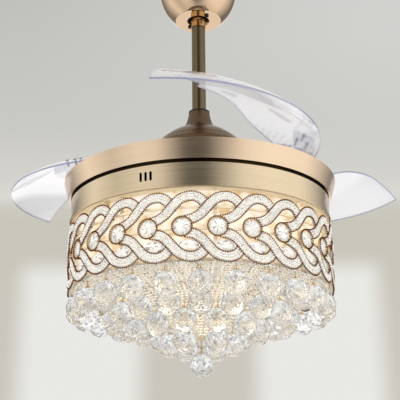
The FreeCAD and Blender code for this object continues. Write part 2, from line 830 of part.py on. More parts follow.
def wedge(inner, outer, first, last, low, high):
    """Ring sector about the blade edge's centre, between two directions."""
    sector = sleeve(outer, inner, low, high, edge_centre)
    reach = outer * 2
    corners = [edge_centre, from_edge_centre(reach, first, 0),
               from_edge_centre(reach, (first + last) / 2, 0), from_edge_centre(reach, last, 0)]
    return sector.common(slab(corners, low - overrun, high + overrun))


def surface_at(share_angle, inset):
    """Point and outward normal on the blade's upper face near its root."""
    direction = root_direction - share_angle
    (r0, z0), (r1, z1), (r2, z2) = blade_section(share_angle / blade_span_angle)
    circle = Part.Circle(Vec(r0, z0, 0), Vec(r1, z1, 0), Vec(r2, z2, 0))
    r = blade_edge_radius - inset
    rise = math.sqrt(circle.Radius ** 2 - (r - circle.Center.x) ** 2)
    out = spun(Vec(1, 0, 0), direction)
    normal = (out * (r - circle.Center.x) + UP * rise).normalize()
    return from_edge_centre(r, direction, circle.Center.y + rise + blade_thick), normal


def blade_pieces():
    """Blades, toothed hubs and blade screws, one set per pivot."""
    sheet = blade_body(0, blade_thick)
    tip_direction = blade_direction(1)
    round_angle = math.degrees(2 * math.asin(blade_tip_round / 2 / blade_edge_radius))
    round_centre = from_edge_centre(blade_edge_radius, tip_direction + round_angle, 0)
    low, high = rim_z - overrun, rim_z + pad_headroom
    corner = wedge(run_fit, blade_edge_radius + overrun, tip_direction - round_angle,
                   tip_direction + round_angle, low, high)
    corner = corner.cut(disc(blade_tip_round, low - overrun, high + overrun, round_centre))
    sheet = sheet.cut(corner)

    pad_floor = rim_z + pad_floor_height
    pad = wedge(pad_inner_radius, pad_outer_radius, root_direction - pad_margin_angle,
                root_direction - pad_sweep_angle, pad_floor, high)
    pad = pad.cut(blade_body(-seat_gap, 2 * pad_headroom))
    inward = pivot_direction + FULL_TURN / 2
    angles = [inward + a for a in sector_tooth_angles]
    corners = [p + pivot for p in tooth_corners(sector_pitch, gear_module, angles)]
    sector = slab([pivot] + corners, gear_low, gear_high)
    hub = disc(hub_radius, gear_low, hub_top_z, pivot)
    column = disc(hub_radius, hub_top_z - overrun, high, pivot).common(
        wedge(pad_inner_radius, pad_outer_radius, root_direction - pad_margin_angle,
              root_direction - pad_sweep_angle, hub_top_z - overrun, high))
    column = column.cut(blade_body(-seat_gap, 2 * pad_headroom))
    hub = hub.multiFuse([sector, column, pad])
    hub = hub.cut(disc(post_radius + run_fit, gear_low - overrun, hub_top_z + overrun, pivot))
    hub = hub.cut(disc(spring_outer_radius + slide_gap, gear_low - overrun,
                       carrier_top_z + spring_height + slide_gap, pivot))
    hub = hub.cut(disc(cap_radius + cap_room, hub_top_z, high + overrun, pivot))

    one = screw(blade_screw_head_radius, blade_screw_head, blade_screw_radius, blade_screw_length)
    screws = []
    for angle, inset in zip(blade_screw_angles, blade_screw_insets):
        surface, normal = surface_at(angle, inset)
        seat = surface - normal * blade_screw_sink
        drill = bar(blade_screw_radius + seat_gap, blade_screw_length + 2 * seat_gap, seat, -normal)
        spot_face = bar(blade_screw_head_radius + seat_gap, overrun, seat, normal)
        sheet = sheet.cut(drill).cut(spot_face)
        hub = hub.cut(drill)
        screws.append(placed(one, seat, normal))
    hub = hub.removeSplitter()
    for k in range(blade_count):
        turn = FULL_TURN * k / blade_count
        save("blade_%d" % (k + 1), turned(sheet, turn))
        save("blade_hub_%d" % (k + 1), turned(hub, turn))
        save("blade_screws_%d" % (k + 1), *[turned(s, turn) for s in screws])


def drum_pieces():
    """Top ring, chassis, drum housing, hub nut and chassis screws."""
    ring = spun_shell([(rim_radius, rim_z), ((rim_radius + ring_foot_radius) / 2, (rim_z + ring_foot_z) / 2),
                       (ring_foot_radius, ring_foot_z)], ring_wall)
    ring = ring.fuse(sleeve(ring_foot_radius, ring_flange_inner, ring_foot_z, chassis_foot_z))
    ring = ring.common(disc(rim_radius, ring_foot_z, rim_z))
    chassis = sleeve(chassis_radius, shaft_radius + seat_gap, chassis_foot_z, chassis_top_z)
    window = disc(chassis_hole_radius, chassis_foot_z - overrun, chassis_top_z + overrun,
                  around(chassis_hole_circle, FULL_TURN / 4))
    for cutter in ring_of(window, chassis_screw_count, FULL_TURN / chassis_screw_count / 2):
        chassis = chassis.cut(cutter)
    neck_inner = groove_radius - housing_wall
    flange_foot = ring_foot_z - housing_wall
    step_foot = band_top_z - housing_wall
    housing = lathe([(housing_flange_inner, ring_foot_z), (groove_radius, ring_foot_z),
                     (groove_radius, band_top_z), (band_top_radius, band_top_z),
                     (band_foot_radius, band_foot_z + lip_height), (lip_radius, band_foot_z + lip_height),
                     (lip_radius, housing_foot_z), (housing_flange_inner, housing_foot_z),
                     (housing_flange_inner, band_foot_z), (band_foot_radius - housing_wall, band_foot_z),
                     (band_top_radius - housing_wall, step_foot), (neck_inner, step_foot),
                     (neck_inner, flange_foot), (housing_flange_inner, flange_foot)])
    slot_z = (band_top_z + band_foot_z + lip_height) / 2
    straight = slot_height - slot_width
    depth = band_top_radius - groove_radius + overrun
    for k in range(slot_count):
        cut_box = Part.makeBox(slot_width, depth, straight,
                               Vec(-slot_width / 2, -band_top_radius - overrun / 2, slot_z - straight / 2))
        for end in (-1, 1):
            start = Vec(0, -band_top_radius - overrun / 2, slot_z + end * straight / 2)
            cut_box = cut_box.fuse(bar(slot_width / 2, depth, start, Vec(0, 1, 0)))
        housing = housing.cut(turned(cut_box, slot_angle + slot_pitch_angle * (k - (slot_count - 1) / 2)))

    one = screw(chassis_screw_head_radius, chassis_screw_head, chassis_screw_radius,
                chassis_top_z - flange_foot + chassis_screw_tail)
    screws = []
    for k in range(chassis_screw_count):
        spot = around(chassis_screw_circle, FULL_TURN * k / chassis_screw_count, chassis_top_z)
        hole = disc(chassis_screw_radius + seat_gap, flange_foot - overrun, chassis_top_z + overrun, spot)
        ring, chassis, housing = ring.cut(hole), chassis.cut(hole), housing.cut(hole)
        screws.append(placed(one, spot, UP))
    bolts = frame_bolts()
    for spot in bolts:
        housing = housing.cut(disc(thumb_screw_radius + seat_gap, housing_foot_z - overrun,
                                   band_foot_z + overrun, spot))
    save("top_ring", ring.removeSplitter())
    save("chassis_plate", chassis)
    save("drum_housing", housing)
    save("chassis_screws", *screws)
    corners = [spun(Vec(hub_nut_radius, 0, 0), FULL_TURN * k / 6) for k in range(6)]
    nut = slab(corners, chassis_foot_z - hub_nut_height, chassis_foot_z)
    save("hub_nut", nut.cut(disc(shaft_radius + run_fit, chassis_foot_z - 2 * hub_nut_height, chassis_top_z)))


def rounded_box(length, width, height, low_centre):
    """Box with rounded upright edges."""
    body = block(length, width, height, low_centre)
    upright = [e for e in body.Edges if abs(e.BoundBox.ZLength - height) < run_fit]
    return body.makeFillet(box_corner, upright)


def light_pieces():
    """Receiver, light driver, pillars, tray, boards and diffuser."""
    save("receiver_box", rounded_box(receiver_width, receiver_length, receiver_height,
                                     Vec(box_offset, 0, chassis_foot_z - receiver_height)))
    save("light_driver", rounded_box(driver_width, driver_length, driver_height,
                                     Vec(-box_offset, 0, chassis_foot_z - driver_height)))
    pillar = disc(pillar_radius, tray_top_z, chassis_foot_z, around(pillar_circle, 0))
    save("tray_pillars", *ring_of(pillar, pillar_count, pillar_first_angle))
    save("light_tray", disc(tray_radius, tray_foot_z, tray_top_z))
    board = sleeve(board_outer_radius, board_inner_radius, tray_foot_z - board_thick, tray_foot_z)
    gap = block(2 * board_outer_radius + overrun, board_split, 2 * overrun, Vec(0, 0, tray_foot_z - overrun))
    for k in range(board_count // 2):
        board = board.cut(turned(gap, FULL_TURN * k / board_count))
    save("light_boards", *board.Solids)
    turn_z = tray_foot_z - diffuser_depth
    crown_z = turn_z - diffuser_crown
    edge_z = mix(turn_z, crown_z, diffuser_round_share)
    wall = diffuser_wall
    dish = lathe([(tray_radius, tray_foot_z), (tray_radius, turn_z), (tray_radius - overrun, edge_z),
                  (0, crown_z), (0, crown_z + wall), (tray_radius - overrun - wall, edge_z + wall),
                  (tray_radius - wall, turn_z), (tray_radius - wall, tray_foot_z)])
    save("light_diffuser", dish)


def frame_bolts():
    """Places of the thumb screws."""
    first = thumb_screw_angle
    return [around(thumb_screw_circle, first + FULL_TURN * k / thumb_screw_count)
            for k in range(thumb_screw_count)]


def ball_top():
    """Height of a ball's flat above its centre."""
    return math.sqrt(ball_crystal_radius ** 2 - ball_crystal_flat ** 2)


finial_pin_z = finial_z + ball_top() + finial_cap_height + finial_pin_rise


def tier_ring_z(drop):
    """Underside of the ring that carries a tier of balls."""
    return rim_z - drop + ball_top() + hook_rise


def crystal_frame():
    """Welded frame: top ring, hoops, ribs, foot ring, tier rings, spokes, centre hub and finial hook."""
    hoop_outer = scroll_back_radius - seat_gap
    rib_outer = hoop_outer - hoop_width
    foot_inner = rib_outer - foot_ring_width
    foot_low = foot_ring_z - foot_ring_thick
    pieces = [sleeve(frame_ring_outer, frame_ring_inner, frame_ring_foot_z, housing_foot_z),
              sleeve(rib_outer, foot_inner, foot_low, foot_ring_z)]
    for step in (-1, 0, 1):
        z = band_z + step * hoop_offset
        pieces.append(sleeve(hoop_outer, rib_outer - rib_thick, z - hoop_height / 2, z + hoop_height / 2))
    rib = block(rib_width, rib_thick, frame_ring_foot_z - foot_low,
                Vec(0, -rib_outer + rib_thick / 2, foot_low))
    rib = rib.common(disc(rib_outer, foot_low, frame_ring_foot_z))
    pieces += ring_of(rib, rib_count, rib_first_angle)
    line = [(foot_inner + spoke_depth, foot_low)]
    for radius, drop in list(zip(tier_radii, tier_drops))[1:]:
        z = tier_ring_z(drop)
        line.append((radius, z))
        half = tier_ring_width / 2
        pieces.append(sleeve(radius + half, radius - half, z, z + tier_ring_thick))
    hub_top = frame_hub_z + frame_hub_thick
    pieces.append(disc(frame_hub_radius, frame_hub_z, hub_top))
    line.append((frame_hub_radius / 2, frame_hub_z + frame_hub_thick / 2))
    corners = [Vec(r, 0, z) for r, z in line]
    corners += [Vec(r, 0, z + spoke_depth) for r, z in reversed(line)]
    blade = Part.Face(Part.makePolygon(corners + corners[:1])).extrude(Vec(0, spoke_thick, 0))
    blade.translate(Vec(0, -spoke_thick / 2, 0))
    pieces += ring_of(blade, spoke_count, FULL_TURN / spoke_count / 4)
    strap_reach = finial_strap_gap / 2 + finial_strap_thick
    pieces.append(bar(finial_pin_radius, 2 * strap_reach, Vec(0, -strap_reach, finial_pin_z), Vec(0, 1, 0)))
    for side in (-1, 1):
        strap_y = side * (finial_strap_gap + finial_strap_thick) / 2
        foot = Vec(0, strap_y, finial_pin_z - finial_strap_width / 2)
        pieces.append(block(finial_strap_width, finial_strap_thick, frame_hub_z - foot.z, foot))
    frame = pieces[0].multiFuse(pieces[1:])
    for spot in frame_bolts():
        frame = frame.cut(disc(thumb_screw_radius + seat_gap, frame_ring_foot_z - overrun,
                               housing_foot_z + overrun, spot))
    return frame


def thumb_screw():
    """Knurled thumb screw with its head's seat at the origin and its head hanging down."""
    head = disc(thumb_head_radius, -thumb_head_height, 0)
    notch = disc(thumb_knurl_radius, -thumb_head_height - overrun, overrun, Vec(thumb_head_radius, 0, 0))
    for cutter in ring_of(notch, thumb_knurl_count):
        head = head.cut(cutter)
    return head.fuse(disc(thumb_screw_radius, 0, thumb_screw_tail))


def ribbon(side):
    """One scroll ribbon in the front plane: a tail, a sweep, a straight and a round crown."""
    moves = ((scroll_sweep_radius, scroll_sweep_angle), (scroll_straight, 0),
             (scroll_crown_radius, scroll_crown_angle))
    point, heading = Vec(scroll_start_across, 0, scroll_start_up), scroll_start_angle
    left, right = [], []
    for size, turn in moves:
        spots = []
        for share in (0, 0.5, 1):
            if turn:
                swing = abs(math.radians(turn)) * share
                sign = math.copysign(1, turn)
                step = Vec(size * math.sin(swing), 0, sign * size * (1 - math.cos(swing)))
            else:
                step = Vec(size * share, 0, 0)
            a = math.radians(heading)
            moved = point + Vec(step.x * math.cos(a) - step.z * math.sin(a), 0,
                                step.x * math.sin(a) + step.z * math.cos(a))
            b = math.radians(heading + turn * share)
            spots.append((moved, Vec(-math.sin(b), 0, math.cos(b)) * (scroll_width / 2)))
        left.append(edge_through(*[p + n for p, n in spots]))
        right.append(edge_through(*[p - n for p, n in reversed(spots)]))
        point, heading = spots[-1][0], heading + turn
    start, end = left[0].Vertexes[0].Point, left[-1].Vertexes[-1].Point
    far, near = right[-1].Vertexes[0].Point, right[0].Vertexes[-1].Point
    wire = Part.Wire(left + [Part.makeLine(end, far)] + right[::-1] + [Part.makeLine(near, start)])
    body = Part.Face(wire).extrude(Vec(0, -scroll_thick, 0))
    body.translate(Vec(-scroll_middle_across, -scroll_back_radius, 0))
    if side < 0:
        body = body.mirror(CENTRE, UP)
    body.translate(Vec(0, 0, band_z))
    return turned(body, math.degrees(scroll_middle_across / scroll_back_radius))


def band_crystal():
    """Round cut crystal with a flat table, at the front."""
    def ring(radius, depth):
        corners = [Vec(radius * math.cos(2 * math.pi * k / crystal_facet_count), -scroll_back_radius - depth,
                       band_z + radius * math.sin(2 * math.pi * k / crystal_facet_count))
                   for k in range(crystal_facet_count)]
        return Part.makePolygon(corners + corners[:1])
    levels = ((crystal_radius, 0), (crystal_radius, crystal_girdle),
              (crystal_radius * crystal_table_share, crystal_depth))
    return Part.makeLoft([ring(r, d) for r, d in levels], True, True)


def crystal_pieces():
    """Frame, shade, thumb screws, scroll rows, band crystals and their bezels."""
    save("crystal_frame", crystal_frame())
    screws = [placed(thumb_screw(), spot + Vec(0, 0, frame_ring_foot_z), UP) for spot in frame_bolts()]
    save("thumb_screws", *screws)
    save("band_shade", sleeve(shade_radius, shade_radius - shade_wall, foot_ring_z + shade_foot_rise, frame_ring_foot_z))
    save("upper_scrolls", *ring_of(ribbon(1), scroll_count, scroll_first_angle))
    save("lower_scrolls", *ring_of(ribbon(-1), scroll_count, scroll_first_angle))
    save("band_crystals", *ring_of(band_crystal(), scroll_count, scroll_first_angle))
    start = Vec(0, -scroll_back_radius, band_z)
    bezel = bar(crystal_radius + run_fit + bezel_width, bezel_depth, start, Vec(0, -1, 0))
    bezel = bezel.cut(bar(crystal_radius + run_fit, bezel_depth, start, Vec(0, -1, 0)))
    save("crystal_bezels", *ring_of(bezel, scroll_count, scroll_first_angle))


def ball_pieces():
    """Four tiers of crystal balls on hooks, and the ball that swings below them."""
    hooks, balls = [], []
    for k, (count, radius, drop) in enumerate(zip(tier_counts, tier_radii, tier_drops)):
        spot = around(radius, 0, rim_z - drop)
        first = FULL_TURN / count * tier_turn_shares[k]
        balls.append(ring_of(crystal_ball(spot), count, first))
        top = spot.z + ball_top()
        ceiling = foot_ring_z - foot_ring_thick if k == 0 else tier_ring_z(drop)
        hook = disc(hook_cap_radius, top, top + hook_cap_height, spot)
        hook = hook.fuse(disc(hook_wire_radius, top, ceiling, spot))
        hooks += ring_of(hook, count, first)
    save("ball_hooks", *hooks)
    save("outer_crystal_balls", *balls[0])
    save("inner_crystal_balls", *sum(balls[1:], []))

    cap_foot = finial_z + ball_top()
    cap_top = cap_foot + finial_cap_height
    pin_z = finial_pin_z
    eye = bar(finial_eye_radius, finial_eye_thick, Vec(0, -finial_eye_thick / 2, pin_z), Vec(0, 1, 0))
    eye = eye.fuse(block(2 * finial_pin_radius, finial_eye_thick, pin_z - cap_top, Vec(0, 0, cap_top)))
    eye = eye.cut(bar(finial_pin_radius + run_fit, finial_pin_length, Vec(0, -finial_pin_length / 2, pin_z),
                      Vec(0, 1, 0)))
    save("finial_eye", eye.fuse(disc(finial_cap_radius, cap_foot, cap_top)))
    save("finial_ball", crystal_ball(Vec(0, 0, finial_z)))


def crystal_ball(centre):
    """Ball with a small flat on top for its cap."""
    ball = Part.makeSphere(ball_crystal_radius, centre)
    return ball.common(disc(2 * ball_crystal_radius, centre.z - 2 * ball_crystal_radius,
                            centre.z + ball_top(), centre))


hanger_pieces()
cover_seat_z = rod_pieces()
cover_pieces(cover_seat_z)
shell_screws = motor_pieces()
carrier_pieces(shell_screws)
blade_pieces()
drum_pieces()
light_pieces()
crystal_pieces()
ball_pieces()
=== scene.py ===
"""Looks of the ceiling fan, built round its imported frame.

The camera, room and finishes match one photograph: a champagne-gold fan with clear
folding blades and a lit crystal drum, seen from a little below.
"""

import logging
import math
from collections.abc import Iterator, Sequence
from dataclasses import dataclass, field
from enum import Enum

import bpy
from mathutils import Matrix, Vector


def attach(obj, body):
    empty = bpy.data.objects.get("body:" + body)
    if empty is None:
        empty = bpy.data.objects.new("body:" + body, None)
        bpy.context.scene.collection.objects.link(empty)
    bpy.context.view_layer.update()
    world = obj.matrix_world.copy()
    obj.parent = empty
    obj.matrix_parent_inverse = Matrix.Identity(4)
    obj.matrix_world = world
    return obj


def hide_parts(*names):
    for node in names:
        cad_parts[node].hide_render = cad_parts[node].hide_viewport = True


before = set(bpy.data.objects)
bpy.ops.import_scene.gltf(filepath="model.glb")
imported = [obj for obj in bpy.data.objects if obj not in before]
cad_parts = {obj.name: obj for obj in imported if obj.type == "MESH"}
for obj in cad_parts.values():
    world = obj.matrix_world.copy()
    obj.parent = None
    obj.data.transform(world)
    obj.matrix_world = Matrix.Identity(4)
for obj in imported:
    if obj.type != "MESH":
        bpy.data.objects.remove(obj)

logging.basicConfig(level=logging.INFO, format="%(levelname)s %(message)s")
LOG = logging.getLogger("fan")

MM: float = 0.001
# Normals are rounded to this step, so that a whole facet takes one painted reflection tone.
FACET_STEP: float = 0.0137

Thing = bpy.types.Object
Socket = bpy.types.NodeSocket
Pair = tuple[float, float]
Triple = tuple[float, float, float]
Colour = Triple
Stops = Sequence[tuple[float, Colour]]
Window = tuple[float, float, float, float, Colour]

WHITE: Colour = (1.0, 1.0, 1.0)
# Turns a flat shape to face the front.
FORWARD: Triple = (math.pi / 2, 0.0, 0.0)
# Where a mix node has its factor, first and second colour, and its mixed colour.
COLOUR_INPUTS: tuple[int, int, int] = (0, 6, 7)
COLOUR_OUTPUT: int = 2


class Grain(Enum):
    """Which way the fine scratches of a metal finish run."""

    NONE = "none"
    ROUND = "round"
    UPRIGHT = "upright"


SCRATCHES: dict[Grain, Triple] = {Grain.ROUND: (7.0, 7.0, 1400.0), Grain.UPRIGHT: (900.0, 900.0, 6.0)}
SCRATCH_DETAIL: float = 3.0
SCRATCH_SPREAD: float = 0.2
SCRATCH_POLISH: float = 0.08


class Row(Enum):
    """The two rows of scroll ribbons."""

    UPPER = 1
    LOWER = -1


def rgba(colour: Colour) -> tuple[float, float, float, float]:
    """Give a colour its opaque alpha.

    Args:
        colour: Linear red, green and blue.

    Returns:
        The same colour with alpha 1.
    """
    return (*colour, 1.0)


@dataclass
class NodeGraph:
    """A material's or world's node tree while it is put together.

    Attributes:
        tree: The node tree being filled.
    """

    tree: bpy.types.NodeTree

    def add(self, kind: str, **inputs: object) -> bpy.types.Node:
        """Add a node and set its inputs.

        Args:
            kind: Blender's identifier of the node.
            **inputs: Socket names, with underscores for spaces, and their values or links.

        Returns:
            The new node.
        """
        node = self.tree.nodes.new(kind)
        for name, value in inputs.items():
            self.put(node.inputs[name.replace("_", " ")], value)
        return node

    def put(self, socket: Socket, value: object) -> None:
        """Set a socket to a constant, or link another node's output to it.

        Args:
            socket: The input socket.
            value: A constant or an output socket.
        """
        if isinstance(value, Socket):
            self.tree.links.new(value, socket)
        else:
            socket.default_value = value

    def math(self, operation: str, first: object, second: object = 0.0, clamp: bool = False) -> Socket:
        """Add a maths node.

        Args:
            operation: Blender's name of the operation.
            first: First value or link.
            second: Second value or link.
            clamp: Whether the result stays between 0 and 1.

        Returns:
            The node's output.
        """
        node = self.tree.nodes.new("ShaderNodeMath")
        node.operation = operation
        node.use_clamp = clamp
        self.put(node.inputs[0], first)
        self.put(node.inputs[1], second)
        return node.outputs[0]

    def ramp(self, factor: object, stops: Stops, steps: str = "LINEAR") -> Socket:
        """Add a colour ramp.

        Args:
            factor: Where on the ramp.
            stops: Positions and colours, in order.
            steps: Blender's name of the way between two stops.

        Returns:
            The colour output.
        """
        node = self.add("ShaderNodeValToRGB", Fac=factor)
        node.color_ramp.interpolation = steps
        elements = node.color_ramp.elements
        while len(elements) < len(stops):
            elements.new(1.0)
        for element, (position, colour) in zip(elements, stops):
            element.position = position
            element.color = rgba(colour)
        return node.outputs["Color"]

    def noise(self, scale: Triple, detail: float = 2.0) -> Socket:
        """Add noise on object coordinates.

        Args:
            scale: Features per metre along X, Y and Z.
            detail: Octaves of finer noise.

        Returns:
            The noise's value.
        """
        place = self.add("ShaderNodeTexCoord").outputs["Object"]
        mapped = self.add("ShaderNodeMapping", Vector=place, Scale=scale).outputs[0]
        return self.add("ShaderNodeTexNoise", Vector=mapped, Scale=1.0, Detail=detail).outputs["Fac"]

    def mix_colour(self, factor: object, first: object, second: object) -> Socket:
        """Mix two colours.

        Args:
            factor: Share of the second colour.
            first: First colour or link.
            second: Second colour or link.

        Returns:
            The mixed colour.
        """
        node = self.tree.nodes.new("ShaderNodeMix")
        node.data_type = "RGBA"
        for place, value in zip(COLOUR_INPUTS, (factor, first, second)):
            self.put(node.inputs[place], value)
        return node.outputs[COLOUR_OUTPUT]

    def mix_shader(self, factor: object, first: Socket, second: Socket) -> Socket:
        """Mix two shaders.

        Args:
            factor: Share of the second shader.
            first: First shader.
            second: Second shader.

        Returns:
            The mixed shader.
        """
        node = self.add("ShaderNodeMixShader", Fac=factor)
        self.put(node.inputs[1], first)
        self.put(node.inputs[2], second)
        return node.outputs[0]

    def principled(self, **inputs: object) -> Socket:
        """Add the usual surface shader.

        Args:
            **inputs: Its sockets, as for add.

        Returns:
            The shader's output.
        """
        return self.add("ShaderNodeBsdfPrincipled", **inputs).outputs[0]

    def one_sided(self, shader: Socket) -> Socket:
        """Show a shader on the faces' fronts alone.

        Args:
            shader: The shader's output.

        Returns:
            The shader, clear from the back.
        """
        clear = self.add("ShaderNodeBsdfTransparent", Color=rgba(WHITE)).outputs[0]
        back = self.add("ShaderNodeNewGeometry").outputs["Backfacing"]
        return self.mix_shader(back, shader, clear)


@dataclass(frozen=True)
class Finish:
    """A surface finish, and the base of the special ones.

    Attributes:
        name: Name of the material.
        colour: Linear base colour.
        roughness: Surface roughness.
        mirror: Strength of a plain finish's mirror reflection.
        one_sided: Whether it doesn't show from the faces' backs.
    """

    name: str
    colour: Colour
    roughness: float = 0.4
    mirror: float = field(default=0.5, kw_only=True)
    one_sided: bool = field(default=False, kw_only=True)

    def material(self) -> bpy.types.Material:
        """Give the finish's material, made on first use.

        Returns:
            The material.
        """
        title = f"{self.name}_finish"
        found = bpy.data.materials.get(title)
        if found is not None:
            return found
        made = bpy.data.materials.new(title)
        made.use_nodes = True
        made.node_tree.nodes.clear()
        graph = NodeGraph(made.node_tree)
        surface = self.surface(graph)
        if self.one_sided:
            surface = graph.one_sided(surface)
        graph.add("ShaderNodeOutputMaterial", Surface=surface)
        made.diffuse_color = rgba(self.colour)
        return made

    def surface(self, graph: NodeGraph) -> Socket:
        """Build the shader.

        Args:
            graph: The material's node tree.

        Returns:
            The shader's output.
        """
        return graph.principled(Base_Color=rgba(self.colour), Roughness=self.roughness,
                                Specular_IOR_Level=self.mirror)

    def dress(self, thing: Thing) -> None:
        """Give an object this finish alone.

        Args:
            thing: A mesh object.
        """
        thing.data.materials.clear()
        thing.data.materials.append(self.material())


@dataclass(frozen=True)
class Metal(Finish):
    """Bare or plated metal.

    Attributes:
        grain: Which way its scratches run.
        streak: How strongly the scratches change its brightness.
    """

    grain: Grain = Grain.NONE
    streak: float = 0.12

    def surface(self, graph: NodeGraph) -> Socket:
        """Build the metal's shader.

        Args:
            graph: The material's node tree.

        Returns:
            The shader's output.
        """
        base: object = rgba(self.colour)
        rough: object = self.roughness
        if self.grain is not Grain.NONE:
            noise = graph.noise(SCRATCHES[self.grain], SCRATCH_DETAIL)
            dark = rgba(tuple(c * (1 - 2 * self.streak) for c in self.colour))
            light = rgba(tuple(min(c * (1 + self.streak), 1.0) for c in self.colour))
            base = graph.mix_colour(noise, dark, light)
            spread = graph.math("MULTIPLY", noise, SCRATCH_SPREAD)
            rough = graph.math("ADD", spread, self.roughness - SCRATCH_POLISH)
        return graph.principled(Base_Color=self.tint(graph, base), Metallic=1.0, Roughness=rough)

    def tint(self, graph: NodeGraph, base: object) -> object:
        """Change the base colour in places, such as painted shade in a groove.

        Args:
            graph: The material's node tree.
            base: The colour or its link.

        Returns:
            The colour to use.
        """
        return base


@dataclass(frozen=True)
class ShadedGrooveMetal(Metal):
    """Plated metal with painted shade in the groove round it, darkening the recess where shadow falls.

    Attributes:
        low: Height of the groove's foot.
        high: Height of the groove's top.
        black: Painted shade colour in the groove.
    """

    low: float = -443.2 * MM
    high: float = -438.0 * MM
    black: Colour = (0.035, 0.024, 0.014)

    def tint(self, graph: NodeGraph, base: object) -> object:
        """Paint shade into the groove.

        Args:
            graph: The material's node tree.
            base: The colour elsewhere.

        Returns:
            The colour with the groove in it.
        """
        # Painted shade: between the groove's heights the base colour is swapped for near black.
        place = graph.add("ShaderNodeTexCoord").outputs["Object"]
        height = graph.add("ShaderNodeSeparateXYZ", Vector=place).outputs["Z"]
        above = graph.math("GREATER_THAN", height, self.low)
        inside = graph.math("MULTIPLY", above, graph.math("LESS_THAN", height, self.high))
        return graph.mix_colour(inside, base, rgba(self.black))


@dataclass(frozen=True)
class ClearSheet(Finish):
    """Thin clear plastic with a faint haze, and painted shade on its cut edges: a dark blue colour standing
    in for the shade seen along them.

    Attributes:
        haze: Share of light that the sheet scatters.
        gloss: Strength of its mirror reflection when seen face on.
        sheen: How much stronger that gets at a low angle.
        edge_shade_colour: Painted shade colour of the upright cut edges.
        edge_shade_share: How strongly that painted shade shows.
        edge_rough: Roughness of the cut edges.
        edge_slopes: Upward share of a face's normal where it is all edge, and where it is none.
        milk: Colour of the scattered light.
    """

    haze: float = 0.27
    gloss: float = 0.06
    sheen: float = 0.55
    edge_shade_colour: Colour = (0.15, 0.165, 0.32)
    edge_shade_share: float = 0.65
    edge_rough: float = 0.2
    edge_slopes: Pair = (0.25, 0.5)
    milk: Colour = (0.96, 0.96, 1.0)

    def surface(self, graph: NodeGraph) -> Socket:
        """Build the sheet's shader.

        Args:
            graph: The material's node tree.

        Returns:
            The shader's output.
        """
        through = graph.add("ShaderNodeBsdfTransparent", Color=rgba(self.colour)).outputs[0]
        shine = graph.add("ShaderNodeBsdfGlossy", Color=rgba(WHITE), Roughness=self.roughness).outputs[0]
        milk = graph.add("ShaderNodeBsdfTranslucent", Color=rgba(self.milk)).outputs[0]
        facing = graph.add("ShaderNodeLayerWeight", Blend=0.5).outputs["Facing"]
        low = graph.math("POWER", facing, 2.0)
        share = graph.math("ADD", graph.math("MULTIPLY", low, self.sheen), self.gloss, clamp=True)
        face = graph.mix_shader(share, graph.mix_shader(self.haze, through, milk), shine)
        # Painted shade: faces whose normals lie near level, the cut edges, are mixed toward a dark blue
        # colour.
        normal = graph.add("ShaderNodeNewGeometry").outputs["Normal"]
        upward = graph.math("ABSOLUTE", graph.add("ShaderNodeSeparateXYZ", Vector=normal).outputs["Z"])
        all_edge, no_edge = self.edge_slopes
        rim = graph.add("ShaderNodeMapRange", Value=upward, From_Min=all_edge, From_Max=no_edge,
                        To_Min=self.edge_shade_share, To_Max=0.0).outputs[0]
        cut = graph.principled(Base_Color=rgba(self.edge_shade_colour), Roughness=self.edge_rough)
        return graph.mix_shader(rim, face, cut)


@dataclass(frozen=True)
class CutCrystal(Finish):
    """Cut glass whose facets each take a painted reflection tone, standing in for the part of the room or the
    lamp that the facet would mirror.

    Attributes:
        index: Index of refraction.
        clear: Share of light that passes through.
        painted_reflections: Positions and colours of the facets' painted reflection tones.
        painted_glint_strength: Emission strength of the painted glints that some facets glow with, standing
            in for the lamp behind.
    """

    index: float = 1.52
    clear: float = 0.6
    painted_reflections: Stops = ((0.0, WHITE), (1.0, WHITE))
    painted_glint_strength: float = 0.0

    def surface(self, graph: NodeGraph) -> Socket:
        """Build the crystal's shader.

        Args:
            graph: The material's node tree.

        Returns:
            The shader's output.
        """
        # Painted reflections: each facet picks a random tone from the ramp, in place of what it would mirror.
        facing = graph.add("ShaderNodeNewGeometry").outputs["True Normal"]
        steady = graph.tree.nodes.new("ShaderNodeVectorMath")
        steady.operation = "SNAP"
        graph.put(steady.inputs[0], facing)
        graph.put(steady.inputs[1], (FACET_STEP,) * 3)
        chance = graph.add("ShaderNodeTexWhiteNoise", Vector=steady.outputs[0])
        tone = graph.ramp(chance.outputs["Value"], self.painted_reflections, "CONSTANT")
        # Painted glints: a second random pick per facet sets a glowing colour, though the glass is no lamp.
        other = graph.add("ShaderNodeSeparateColor", Color=chance.outputs["Color"]).outputs["Green"]
        return graph.principled(Base_Color=tone, Roughness=self.roughness, IOR=self.index,
                                Transmission_Weight=self.clear, Emission_Strength=self.painted_glint_strength,
                                Emission_Color=graph.ramp(other, PAINTED_GLINTS, "CONSTANT"))


@dataclass(frozen=True)
class LitOpal(Finish):
    """Opal plastic lit from inside, with brighter and warmer patches.

    Attributes:
        strength: Brightness of the light.
        patch: Patches per metre.
        warm: Colour of the dim patches.
        body: How light the plastic itself is beside its colour.
        bright: Colour of the bright patches.
        steps: Noise levels of the dim, plain and bright patches.
    """

    strength: float = 1.0
    patch: float = 45.0
    warm: Colour = (0.80, 0.50, 0.20)
    body: float = 0.6
    bright: Colour = (1.0, 0.97, 0.91)
    steps: Triple = (0.30, 0.43, 0.56)

    def surface(self, graph: NodeGraph) -> Socket:
        """Build the lit shader.

        Args:
            graph: The material's node tree.

        Returns:
            The shader's output.
        """
        noise = graph.noise((self.patch,) * 3, 1.0)
        tone = graph.ramp(noise, tuple(zip(self.steps, (self.warm, self.colour, self.bright))))
        plain = rgba(tuple(c * self.body for c in self.colour))
        return graph.principled(Base_Color=plain, Roughness=self.roughness, Emission_Color=tone,
                                Emission_Strength=self.strength)


